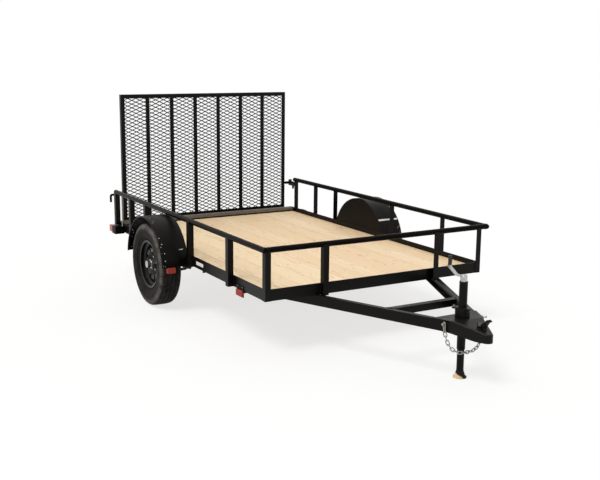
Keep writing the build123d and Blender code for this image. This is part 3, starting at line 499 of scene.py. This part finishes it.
# Axle and springs
# Straight tube axle over leaf springs, clamped by bent bolts with nuts underneath, and hung in welded cheeks.
# Brushed with black chassis paint, which stays duller and picks up road dust.
chassis_paint = powder_coat("black_chassis_paint", "#110E0C", "#3A2E26", gloss=0.55, dust=0.4, shine=0.3)
finish_with(chassis_paint, "axle", "leaf_spring_right", "leaf_spring_left", "spring_hangers_right",
            "spring_hangers_left", "axle_clamp_right", "axle_clamp_left")


def bolt(place, axis, radius, thread=0.0):
    """Hexagon head or nut on a round washer, sized by its radius, with a stub of thread where one passes through."""
    washer = turned([(0, radius * 1.7), (radius * 0.22, radius * 1.7), (radius * 0.26, radius * 1.6)], place, axis, 20)
    foot = Vector(place) + Vector(axis).normalized() * radius * 0.26
    head = turned([(0, radius), (radius * 0.85, radius), (radius, radius * 0.84)], foot, axis, 6)
    stub = [turned([(radius, radius * 0.5), (radius + thread, radius * 0.5), (radius * 1.1 + thread, radius * 0.42)],
                   foot, axis, 12)] if thread else []
    return gathered([washer, head] + stub)


spring_y = side - lip_width / 2
hanger_low, hanger_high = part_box("spring_hangers_left")
hanger_radius, eye_bolt = 0.024, 0.011
eye_z = hanger_low.z + hanger_radius
ubolt_x, ubolt_y, ubolt_nut, ubolt_tail = 0.0364, 0.027, 0.0105, 0.018
plate_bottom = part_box("axle_clamp_left")[0].z + ubolt_tail
fixings = []
for s in hands.values():
    for end in (hanger_low.x + hanger_radius, hanger_high.x - hanger_radius):
        for face in (hanger_low.y, hanger_high.y):
            out = 1 if face == hanger_high.y else -1
            fixings.append(bolt((end, s * face, eye_z), (0, s * out, 0), eye_bolt))
    for dx in (-ubolt_x, ubolt_x):
        for dy in (-ubolt_y, ubolt_y):
            fixings.append(bolt((axle_x + dx, s * spring_y + dy, plate_bottom), (0, 0, -1), ubolt_nut))
# Dull grey plating, mottled with a darker grey.
dull_zinc = plated_steel("dull_zinc_plate", "#8F8B84", "#5F5B55", 0.5)
mesh_piece("spring_bolts", gathered(fixings), dull_zinc, "trailer", 30)


# Tyres
# Radial trailer tyres, moulded in one: three zigzag grooves round the tread, notched shoulders, and raised rings
# on the sidewall. The bead seats in the rim.
def tyre_rubber():
    """Moulded rubber: near black, dull, and paler in a band round the shoulder, part scuffing and part painted sheen.
    """
    material, tree, shader = start_material("moulded_tyre_rubber")
    place = add(tree, "TexCoord").outputs["Object"]
    # the grain is coarser than the mould's, so that it shows
    grain_mm, scuff_mm = 2.0, 60.0
    clean_colour, scuff_and_sheen_colour = "#0C0907", "#8C867F"
    wall_reach, shoulder_reach, edge_reach, tread_reach = 0.285, 0.325, 0.334, 0.346
    grain = add(tree, "TexNoise", {"Vector": place, "Scale": 1000 / grain_mm, "Detail": 2.0})
    scuff_and_sheen_noise = add(tree, "TexNoise", {"Vector": place, "Scale": 1000 / scuff_mm, "Detail": 6.0, "Roughness": 0.7})
    axes = add(tree, "SeparateXYZ", {0: place})
    hub = add(tree, "CombineXYZ", {"X": axle_x, "Z": axle_z})
    level = add(tree, "CombineXYZ", {"X": axes.outputs["X"], "Z": axes.outputs["Z"]})
    reach = add(tree, "VectorMath", {0: level.outputs[0], 1: hub.outputs[0]}, operation="DISTANCE")
    # the pale shoulder band is part scuffing and part a painted sheen, equally bright all round the tyre
    shoulder = add(tree, "MapRange", {"Value": reach.outputs["Value"], "From Min": wall_reach,
                                      "From Max": shoulder_reach, "To Min": 0.14}, interpolation_type="SMOOTHSTEP")
    tread = add(tree, "MapRange", {"Value": reach.outputs["Value"], "From Min": tread_reach,
                                   "From Max": edge_reach, "To Min": 0.16}, interpolation_type="SMOOTHSTEP")
    scuffed_and_lit_band = add(tree, "Math", {0: shoulder.outputs["Result"], 1: tread.outputs["Result"]}, operation="MULTIPLY")
    patch = add(tree, "MapRange", {"Value": scuff_and_sheen_noise.outputs["Fac"], "From Min": 0.25, "From Max": 0.75,
                                   "To Max": 0.65})
    wear_and_highlight = add(tree, "Math", {0: patch.outputs["Result"], 1: scuffed_and_lit_band.outputs[0]}, operation="MULTIPLY")
    colour = add(tree, "Mix", {"Factor": wear_and_highlight.outputs[0], 6: linear(clean_colour), 7: linear(scuff_and_sheen_colour)},
                 data_type="RGBA")
    bump = add(tree, "Bump", {"Height": grain.outputs["Fac"], "Strength": 0.2, "Distance": 0.0004})
    tree.links.new(colour.outputs[2], shader.inputs["Base Color"])
    tree.links.new(bump.outputs["Normal"], shader.inputs["Normal"])
    shader.inputs["Roughness"].default_value = 0.72
    shader.inputs["Specular IOR Level"].default_value = 0.08
    return material


rubber = tyre_rubber()
tyre_low, tyre_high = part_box("tyre_left")
wheel_y = (tyre_low.y + tyre_high.y) / 2
tyre_steps, zigzag_steps, zigzag_sway = 400, 10, 0.0035
notch_steps, notch_open, notch_depth = 5, 2, 0.005
# columns: distance from the tyre's middle and radius in mm, share of the groove's zigzag, share of the shoulder's notch
tyre_flank = ((63, 191, 0, 0), (63.5, 207, 0, 0), (66, 212, 0, 0), (76, 226, 0, 0), (82, 235, 0, 0),
              (84.5, 236, 0, 0), (86.5, 239.5, 0, 0), (86.5, 243, 0, 0), (92.5, 262, 0, 0), (95, 278, 0, 0),
              (94.7, 292, 0, 0), (95.6, 294, 0, 0), (95.2, 300, 0, 0), (93.6, 302, 0, 0), (92.5, 312, 0, 0),
              (89.5, 325, 0, 0), (87.5, 330, 0, 0.4), (84.5, 336, 0, 1), (80, 341, 0, 1), (75, 344.5, 0, 1),
              (69, 347.5, 0, 1), (65, 348.6, 0, 0), (55, 350, 0, 0), (40, 351.2, 1, 0), (38, 344.6, 1, 0),
              (33, 344.8, 1, 0), (31, 351.6, 1, 0), (18, 351.9, 0, 0), (4.5, 352, 1, 0), (2.5, 345, 1, 0))
tyre_line = tyre_flank + tuple((-y, r, sway, notch) for y, r, sway, notch in reversed(tyre_flank))


def tyre_shape(middle):
    """The whole casing as one closed skin about the axle."""
    rings = []
    for i in range(tyre_steps):
        a = 2 * pi * i / tyre_steps
        phase = i % zigzag_steps / zigzag_steps
        zigzag = zigzag_sway * (4 * abs(phase - 0.5) - 1)
        cut = notch_depth if i % notch_steps < notch_open else 0.0
        rings.append([(axle_x + (r / 1000 - cut * notch) * cos(a), middle + y / 1000 + zigzag * sway,
                       axle_z + (r / 1000 - cut * notch) * sin(a)) for y, r, sway, notch in tyre_line])
    return strip(rings, closed=True)


for hand, s in hands.items():
    mesh_piece(f"tyre_casing_{hand}", tyre_shape(s * wheel_y), rubber, f"wheel_{hand}", 28,
               [f"tyre_{hand}"])


# Wheels
# Pressed steel discs welded into rolled rims, enamelled black, on hubs with plated nuts and a pressed cap.
# Each rim has a rubber valve with a plated cap.
# Hard gloss enamel: small sharp glints on the rim's edge and windows.
wheel_paint = powder_coat("black_wheel_enamel", "#0B0908", "#26221E", gloss=0.3, dust=0.12, shine=0.22)
finish_with(wheel_paint, "rim_right", "rim_left")
# Bright plating that catches the light at the wheel's centre.
bright_zinc = plated_steel("bright_zinc_plate", "#D9D8D4", "#8E8A84", 0.32)
finish_with(bright_zinc, "hub_right", "hub_left")
valve_circle, valve_turn, valve_lean = 0.152, radians(62), 0.25
# columns: height above the disc, radius
valve_rows = [(0, 0.0075), (0.004, 0.0075), (0.008, 0.0052), (0.026, 0.0045)]
cap_rows = [(0.026, 0.0042), (0.027, 0.005), (0.036, 0.005), (0.038, 0.0036)]
disc_face = 0.028
for hand, s in hands.items():
    foot = (axle_x + valve_circle * cos(valve_turn), s * (wheel_y + disc_face), axle_z + valve_circle * sin(valve_turn))
    lean = (-valve_lean * cos(valve_turn), s, -valve_lean * sin(valve_turn))
    mesh_piece(f"valve_stem_{hand}", turned(valve_rows, foot, lean, 16), rubber, f"wheel_{hand}", 50)
    mesh_piece(f"valve_cap_{hand}", turned(cap_rows, foot, lean, 16), bright_zinc, f"wheel_{hand}", 50)


# Tongue
# Two steel channels run back from the coupler under the bed, with a tube brace welded across them.
# They are welded to the frame and painted with it in one coat.
finish_with(frame_paint, "tongue_leg_right", "tongue_leg_left", "tongue_brace")
tongue_slope = radians(23.5)
brace_low, brace_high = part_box("tongue_brace")
tongue_welds = []
for s in hands.values():
    lap = (brace_high.x - brace_low.x) * tan(tongue_slope)
    rear = (brace_low.x, s * brace_high.y, brace_high.z)
    front = (brace_high.x, s * (brace_high.y - lap), brace_high.z)
    tongue_welds.append(bead(rear, front))
    for x, y, z in (rear, front):
        tongue_welds.append(bead((x, y, brace_low.z), (x, y, z)))
mesh_piece("tongue_welds", gathered(tongue_welds), frame_paint, "trailer", 60)


# Coupler
# A pressed steel housing for the tow ball, welded over the tips of the channels, with a latch lever on a bolt.
# Slightly paler and glossier than the angle, so its flat top carries a broad soft sheen.
coupler_paint = powder_coat("black_powder_coat_sheet", "#0B0908", "#2F2A26", gloss=0.32, dust=0.1, shine=0.15)
finish_with(coupler_paint, "coupler_body", "coupler_lever")
coupler_low, coupler_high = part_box("coupler_body")
lever_low, lever_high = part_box("coupler_lever")
pivot_back, pivot_drop, pivot_radius, lever_half = 0.022, 0.044, 0.0075, 0.013
pivots = [bolt((lever_low.x + pivot_back, s * lever_half, lever_high.z - pivot_drop), (0, s, 0), pivot_radius)
          for s in hands.values()]
mesh_piece("coupler_bolts", gathered(pivots), dull_zinc, "trailer", 30)
# The lever's handle, pressed wider towards its tip
foot_back, foot_drop, tip_back, tip_rise = 0.041, 0.056, 0.007, 0.004
handle_foot = Vector((lever_high.x - foot_back, 0, lever_high.z - foot_drop))
handle_tip = Vector((lever_high.x - tip_back, 0, lever_high.z + tip_rise))
handle_lean = (handle_tip - handle_foot).normalized()
handle_face = handle_lean.cross((0, 1, 0))
# columns: share of the way to the tip, half the width, half the thickness
handle_rows = ((0, 0.0125, 0.0062), (0.35, 0.0135, 0.0062), (0.7, 0.0185, 0.0062), (0.94, 0.0205, 0.0062),
               (1, 0.0185, 0.0042))
rings = []
for share, half, thick in handle_rows:
    middle = handle_foot.lerp(handle_tip, share)
    section = eased_section(-half, 2 * half, -thick, thick, ease=0.003, cup=0)
    rings.append([middle + Vector((0, y, 0)) + handle_face * lift for y, lift in section])
mesh_piece("lever_handle", strip(rings), coupler_paint, "trailer", 40)
# Short seams across the channels at the back of the housing
seam_start, seam_end, seam_drop = 0.004, 0.045, 0.006
seam_z = coupler_high.z - seam_drop
seams = [bead((coupler_low.x, s * (coupler_high.y - seam_start), seam_z),
              (coupler_low.x, s * (coupler_high.y - seam_end), seam_z)) for s in hands.values()]
mesh_piece("coupler_welds", gathered(seams), frame_paint, "trailer", 60)


# Jack
# A screw jack, bolted through the coupler by its flange: steel tubes and a pressed foot, painted black,
# with a plated crank under a moulded grip.
finish_with(frame_paint, "jack_tube", "jack_leg")
finish_with(bright_zinc, "jack_crank")
leg_low, leg_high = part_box("jack_leg")
jack_x = (leg_low.x + leg_high.x) / 2
# Dry clay up one side of the painted foot, where it stood in the yard.
foot_clay, clay_blend, clay_rise = 0.016, 0.008, (0.30, 0.52, 1.0)
finish_with(two_coats("clay_on_black_paint", "#E3C79C", "#0F0C0A", foot_clay + clay_rise[0] * jack_x, clay_blend,
                      roughness=0.7, rise=clay_rise), "jack_foot")
flange_top, flange_circle, flange_bolt, flange_thread = 0.490, 0.058, 0.0085, 0.004
jack_bolts = [bolt((jack_x + flange_circle * cos(radians(a)), flange_circle * sin(radians(a)), flange_top),
                   (0, 0, 1), flange_bolt, flange_thread) for a in (0, 120, 240)]
mesh_piece("jack_bolts", gathered(jack_bolts), dull_zinc, "trailer", 30)


def moulded_grip():
    """Moulded vinyl with a fine leathery texture, dull enough to part it from the paint."""
    material, tree, shader = start_material("moulded_black_vinyl")
    place = add(tree, "TexCoord").outputs["Object"]
    pebble_mm = 1.5
    pebble = add(tree, "TexVoronoi", {"Vector": place, "Scale": 1000 / pebble_mm})
    tint = add(tree, "Mix", {"Factor": pebble.outputs["Distance"], 6: linear("#161412"), 7: linear("#0D0B0A")},
               data_type="RGBA")
    bump = add(tree, "Bump", {"Height": pebble.outputs["Distance"], "Strength": 0.2, "Distance": 0.0003})
    tree.links.new(tint.outputs[2], shader.inputs["Base Color"])
    tree.links.new(bump.outputs["Normal"], shader.inputs["Normal"])
    shader.inputs["Roughness"].default_value = 0.6
    return material


finish_with(moulded_grip(), "jack_grip")


# Safety chains
# Round steel wire bent into links, butt-welded and plated, hung from a bolt in each leg and joined
# in front of the jack.
chain_start, chain_end = Vector((1.90967, 0.16251, 0.3892)), Vector((1.9595, 0.027, 0.195))
chain_bolt, shank_length, shank_radius = Vector((1.9005, 0.14142, 0.4)), 0.046, 0.004
# columns: height on the shank's end, radius
bolt_head = [(0, 0.008), (0.0042, 0.008), (0.005, 0.0068)]
wire, link_inner, link_width, link_slack = 0.007, 0.031, 0.027, 0.0007
link_round = (link_width - wire) / 2
link_steps, chain_steps = 12, 400


def link(middle, along, flat, inner):
    """One link of round wire, long in one direction and flat to another, with a hole of a given length."""
    across = flat.cross(along)
    straight = (inner + wire) / 2 - link_round
    bends = [(end * straight + link_round * cos(a), link_round * sin(a))
             for end, first in ((1, -pi / 2), (-1, pi / 2))
             for a in (first + pi * k / link_steps for k in range(link_steps + 1))]
    return tube([middle + along * p + across * q for p, q in bends], [wire / 2] * len(bends), 10, flat, closed=True)


def chain_shape():
    """Links strung along the sagging line of the left chain, each turned a quarter from the last, and its bolt."""
    line = []
    for i in range(chain_steps + 1):
        t = i / chain_steps
        line.append(Vector((chain_start.x + (chain_end.x - chain_start.x) * t,
                            chain_start.y + (chain_end.y - chain_start.y) * t ** 2,
                            chain_end.z + (chain_start.z - chain_end.z) * (1 - t) ** 2)))
    shapes = []
    travelled = 0.0
    for a, b in zip(line, line[1:]):
        if travelled >= (link_inner - link_slack) * len(shapes):
            along = (b - a).normalized()
            level = Vector((0, 0, 1)).cross(along).normalized()
            shapes.append(link(a, along, along.cross(level) if len(shapes) % 2 else level, link_inner))
        travelled += (b - a).length
    out = Vector((sin(tongue_slope), cos(tongue_slope), 0))
    shank = turned([(0, shank_radius), (shank_length, shank_radius)], chain_bolt, out, 16)
    head = turned(bolt_head, chain_bolt + out * shank_length, out, 6)
    return gathered(shapes + [shank, head])


# Plating dulled by weather, between the bright crank and the dark paint.
chain_zinc = plated_steel("weathered_zinc_chain", "#BFBBB4", "#7A766F", 0.40)
left_corners, left_faces = chain_shape()
right_corners = [(x, -y, z) for x, y, z in left_corners]
mesh_piece("chain_left", (left_corners, left_faces), chain_zinc, "trailer", 50, ["safety_chain_left"])
mesh_piece("chain_right", (right_corners, [face[::-1] for face in left_faces]), chain_zinc, "trailer",
           50, ["safety_chain_right"])
# The short link that joins the ends of the chains, closed by a sleeve nut
join_middle, join_inner = Vector((chain_end.x, 0, chain_end.z)), 0.0255
# columns: place along the sleeve, radius
sleeve_rows = [(-0.005, 0.00473), (-0.004, 0.0055), (0.004, 0.0055), (0.005, 0.00473)]
sleeve = turned(sleeve_rows, join_middle - Vector((0, 0, link_round)), (0, 1, 0), 6)
join = link(join_middle, Vector((0, 1, 0)), Vector((1, 0, 0)), join_inner)
mesh_piece("chain_joint", gathered([join, sleeve]), chain_zinc, "trailer", 50)


# Ramp gate
# A welded angle border with upright bars, covered on its back with expanded steel, on tube hinges.
# The expanded sheet is slit and stretched, so its strands lie twisted out of the sheet.
finish_with(frame_paint, "gate_frame", "gate_bars", "hinge_barrels", "hinge_pins", "gate_latches")
gate_low, gate_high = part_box("gate_frame")
sheet_low, sheet_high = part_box("gate_mesh")
mesh_columns, mesh_rows = 22, 34
strand_width, strand_thick, strand_twist, strand_lap = 0.0090, 0.0026, radians(38), 0.002


def strand(start, end):
    """One twisted bar of the expanded sheet between two of its knots."""
    along = (end - start).normalized()
    out = Vector((1, 0, 0))
    rise = out.cross(along)
    rise = rise if rise.z > 0 else -rise
    flat = (rise * cos(strand_twist) + out * sin(strand_twist)) * strand_width / 2
    thick = along.cross(flat).normalized() * strand_thick / 2
    ends = (start - along * strand_lap, end + along * strand_lap)
    return strip([[p - flat - thick, p + flat - thick, p + flat + thick, p - flat + thick] for p in ends])


strands = []
for i in range(2 * mesh_columns):
    for j in range(2 * mesh_rows):
        first, last = (j, j + 1) if (i + j) % 2 == 0 else (j + 1, j)
        ends = []
        for column, row in ((i, first), (i + 1, last)):
            ends.append(Vector((sheet_low.x,
                                sheet_low.y + (sheet_high.y - sheet_low.y) * column / (2 * mesh_columns),
                                sheet_low.z + (sheet_high.z - sheet_low.z) * row / (2 * mesh_rows))))
        strands.append(strand(*ends))
mesh_piece("gate_expanded_sheet", gathered(strands), frame_paint, "gate", None, ["gate_mesh"])
# Welds at the ends of the bars and along the hinge barrels
bar_count, gate_leg, gate_bead = 6, 0.038, 0.003
gate_welds = []
bar_pitch = (gate_high.y - gate_low.y - gate_leg) / (bar_count + 1)
for i in range(bar_count):
    bar_y = gate_low.y + gate_leg / 2 + bar_pitch * (i + 1)
    for z in (gate_low.z + gate_leg, gate_high.z - gate_leg):
        gate_welds.append(bead((gate_high.x, bar_y - gate_leg / 2, z), (gate_high.x, bar_y + gate_leg / 2, z),
                               gate_bead))
barrel_low, barrel_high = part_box("hinge_barrels")
barrel_length, barrel_end, barrel_inset, barrel_drop = 0.070, 0.004, 0.008, 0.002
for s in hands.values():
    outer = s * (barrel_high.y - barrel_end)
    inner = s * (barrel_high.y - barrel_length + barrel_end)
    for x in (barrel_low.x + barrel_inset, barrel_high.x - barrel_inset):
        gate_welds.append(bead((x, inner, gate_low.z - barrel_drop), (x, outer, gate_low.z - barrel_drop), gate_bead))
mesh_piece("gate_welds", gathered(gate_welds), frame_paint, "gate", 60)


# Lamps
# Black moulded housings with ribbed red acrylic lenses, screwed to the frame and the fenders.
# A thin plated rod stands from the right tail lamp up to its rail.
def red_acrylic():
    """Moulded red acrylic: deep, a little uneven in colour, with a hard gloss over fine prisms."""
    material, tree, shader = start_material("red_acrylic_lens")
    place = add(tree, "TexCoord").outputs["Object"]
    prism_mm, cloud_mm = 4.0, 30.0
    prism = add(tree, "TexVoronoi", {"Vector": place, "Scale": 1000 / prism_mm})
    cloud = add(tree, "TexNoise", {"Vector": place, "Scale": 1000 / cloud_mm, "Detail": 2.0})
    tint = add(tree, "Mix", {"Factor": cloud.outputs["Fac"], 6: linear("#8A2412"), 7: linear("#A5341D")},
               data_type="RGBA")
    bump = add(tree, "Bump", {"Height": prism.outputs["Distance"], "Strength": 0.25, "Distance": 0.0006})
    tree.links.new(tint.outputs[2], shader.inputs["Base Color"])
    tree.links.new(bump.outputs["Normal"], shader.inputs["Normal"])
    shader.inputs["Roughness"].default_value = 0.22
    shader.inputs["Specular IOR Level"].default_value = 0.3
    return material


def ribbed_lens(node, face, ribs):
    """Rounded lens that fills a node's box, its face turned along an axis and covered with upright ribs."""
    low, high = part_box(node)
    face, up = Vector(face), Vector((0, 0, 1))
    across = up.cross(face)
    middle, size = (low + high) / 2, high - low
    rib_height, rib_sink, rib_share, rib_steps = 0.0015, 0.0004, 0.42, 6
    depth = abs(size.dot(face)) - rib_height
    half_a, half_b = abs(size.dot(across)) / 2, size.z / 2
    base = middle - face * (depth + rib_height) / 2
    corner, round_depth, corner_points, round_steps = 0.008, 0.005, 5, 5
    rings = []
    for level, inset in [(0.0, 0.0)] + [(depth - round_depth * (1 - sin(t)), round_depth * (1 - cos(t)))
                                        for t in (pi / 2 * k / round_steps for k in range(round_steps + 1))]:
        ring = []
        for a, b, first in ((1, 1, 0), (-1, 1, 90), (-1, -1, 180), (1, -1, 270)):
            for k in range(corner_points):
                turn = radians(first + 90 * k / (corner_points - 1))
                p = a * (half_a - corner) + (corner - inset) * cos(turn)
                q = b * (half_b - corner) + (corner - inset) * sin(turn)
                ring.append(base + across * p + up * q + face * level)
        rings.append(ring)
    shapes = [strip(rings)]
    pitch = 2 * (half_a - corner) / ribs
    for i in range(ribs):
        p = -half_a + corner + pitch * (i + 0.5)
        arc = [pi * k / rib_steps for k in range(rib_steps + 1)]
        section = [(pitch * rib_share * cos(a), rib_height * sin(a)) for a in arc]
        rib = [[base + across * (p + a) + up * q + face * (depth - rib_sink + rise) for a, rise in section]
               for q in (corner - half_b, half_b - corner)]
        corners, faces = strip(rib)
        shapes.append((corners, [f[::-1] for f in faces]))
    return gathered(shapes)


lens_red = red_acrylic()
# Moulded plastic, duller and blacker than the paint round it.
housing = powder_coat("black_abs_plastic", "#040303", "#141110", gloss=0.42, dust=0.05, shine=0.06)
finish_with(housing, "tail_lamp_right", "tail_lamp_left", "fender_marker_right", "fender_marker_left",
            "side_marker_right", "side_marker_left")
for hand, s in hands.items():
    # columns: node of the plain lens, direction of its face, ribs across it
    for node, face, ribs in (("tail_lens", (-1, 0, 0), 9), ("fender_marker_lens", (1, 0, 0), 8),
                             ("side_marker_lens", (0, s, 0), 10)):
        mesh_piece(f"{node}_ribbed_{hand}", ribbed_lens(f"{node}_{hand}", face, ribs), lens_red, "trailer",
                   40, [f"{node}_{hand}"])
# The rod stands on a flat foot and ends in a collar under the rail
rod_x, rod_y, rod_radius, rod_foot, rod_collar, rod_bite = -1.958, 0.979, 0.0045, 0.011, 0.008, 0.001
lamp_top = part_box("tail_lamp_left")[1].z
rod_length = rail_height - rail_radius + rod_bite - lamp_top
# columns: height above the lamp, radius
rod_rows = [(0, rod_foot), (0.004, rod_foot), (0.006, rod_radius), (rod_length - 0.004, rod_radius),
            (rod_length - 0.002, rod_collar), (rod_length, rod_collar)]
mesh_piece("lamp_rod", turned(rod_rows, (rod_x, -rod_y, lamp_top), (0, 0, 1), 16), bright_zinc, "trailer",
           40)
marker_low, marker_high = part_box("side_marker_left")
marker_inset, marker_drop, marker_screw = 0.014, 0.012, 0.0045
marker_screws = [bolt((x, s * marker_high.y, marker_high.z - marker_drop), (0, s, 0), marker_screw)
                 for s in hands.values() for x in (marker_low.x + marker_inset, marker_high.x - marker_inset)]
mesh_piece("marker_screws", gathered(marker_screws), dull_zinc, "trailer", 30)


# Studio
# A pale seamless floor under soft, even light, brighter behind the trailer than behind the camera, as outdoors.
# The camera stands where the photograph was taken from.
def seen(tree):
    """One for rays that come from the eye, off a gloss or through glass, otherwise nought."""
    path = add(tree, "LightPath")
    mirrored = add(tree, "Math", {0: path.outputs["Is Camera Ray"], 1: path.outputs["Is Glossy Ray"]},
                   operation="MAXIMUM")
    return add(tree, "Math", {0: mirrored.outputs[0], 1: path.outputs["Is Transmission Ray"]},
               operation="MAXIMUM").outputs[0]


def floor_paint():
    """Plain matt white: shows a faint soft shadow near the trailer and runs out to pure white."""
    material, tree, shader = start_material("matt_white_floor")
    near_m, far_m, near_share = 4.0, 11.0, 0.72
    place = add(tree, "TexCoord").outputs["Object"]
    reach = add(tree, "VectorMath", {0: place}, operation="LENGTH")
    share = add(tree, "MapRange", {"Value": reach.outputs["Value"], "From Min": near_m, "From Max": far_m,
                                   "To Min": near_share}, interpolation_type="SMOOTHSTEP")
    amount = add(tree, "Math", {0: share.outputs["Result"], 1: seen(tree)}, operation="MULTIPLY")
    glow = add(tree, "Emission", {"Color": linear("#FFFFFF"), "Strength": 1.0})
    both = add(tree, "MixShader", {0: amount.outputs[0], 1: shader.outputs[0], 2: glow.outputs[0]})
    tree.links.new(both.outputs[0], tree.nodes["Material Output"].inputs["Surface"])
    shader.inputs["Base Color"].default_value = linear("#F3F2F0")
    shader.inputs["Roughness"].default_value = 0.9
    shader.inputs["Specular IOR Level"].default_value = 0.0
    return material


floor_half = 60.0
floor_mesh = bpy.data.meshes.new("floor")
floor_mesh.from_pydata([(-floor_half, -floor_half, 0), (floor_half, -floor_half, 0), (floor_half, floor_half, 0),
                        (-floor_half, floor_half, 0)], [], [(0, 1, 2, 3)])
floor_mesh.materials.append(floor_paint())
floor = bpy.data.objects.new("floor", floor_mesh)
bpy.context.scene.collection.objects.link(floor)

world = bpy.data.worlds.new("studio")
bpy.context.scene.world = world
world.use_nodes = True
sky = world.node_tree.nodes["Background"]
bright_side, dim_level, bright_level = (-0.84, 0.42, 0.34), 0.24, 0.95
air = world.node_tree
heading = add(air, "TexCoord").outputs["Generated"]
toward = add(air, "VectorMath", {0: heading, 1: bright_side}, operation="DOT_PRODUCT")
glow = add(air, "MapRange", {"Value": toward.outputs["Value"], "From Min": -0.5, "From Max": 0.7, "To Min": dim_level,
                             "To Max": bright_level}, interpolation_type="SMOOTHSTEP")
strength = add(air, "Mix", {"Factor": seen(air), 2: glow.outputs["Result"], 3: 1.0})
air.links.new(strength.outputs[0], sky.inputs["Strength"])
sky.inputs["Color"].default_value = linear("#FFFFFF")

lamp_from = Vector((0.25, -0.75, 1.25))
lamp = bpy.data.lights.new("softbox", "SUN")
lamp.energy = 1.85
lamp.angle = radians(24)
softbox = bpy.data.objects.new("softbox", lamp)
softbox.rotation_euler = lamp_from.to_track_quat("Z", "Y").to_euler()
bpy.context.scene.collection.objects.link(softbox)

view_width, focal_px = 600, 942.9
camera_place = (6.565, -3.9628, 2.1497)
camera_yaw, camera_pitch, camera_roll = radians(59.853), radians(11.440), radians(0.540)
camera_data = bpy.data.cameras.new("camera")
camera_data.sensor_width = 36.0
camera_data.lens = camera_data.sensor_width * focal_px / view_width
camera = bpy.data.objects.new("camera", camera_data)
camera.matrix_world = (Matrix.Translation(camera_place) @ Matrix.Rotation(camera_yaw, 4, "Z")
                       @ Matrix.Rotation(pi / 2 - camera_pitch, 4, "X") @ Matrix.Rotation(camera_roll, 4, "Z"))
bpy.context.scene.collection.objects.link(camera)
bpy.context.scene.camera = camera
bpy.context.scene.view_settings.view_transform = "Standard"
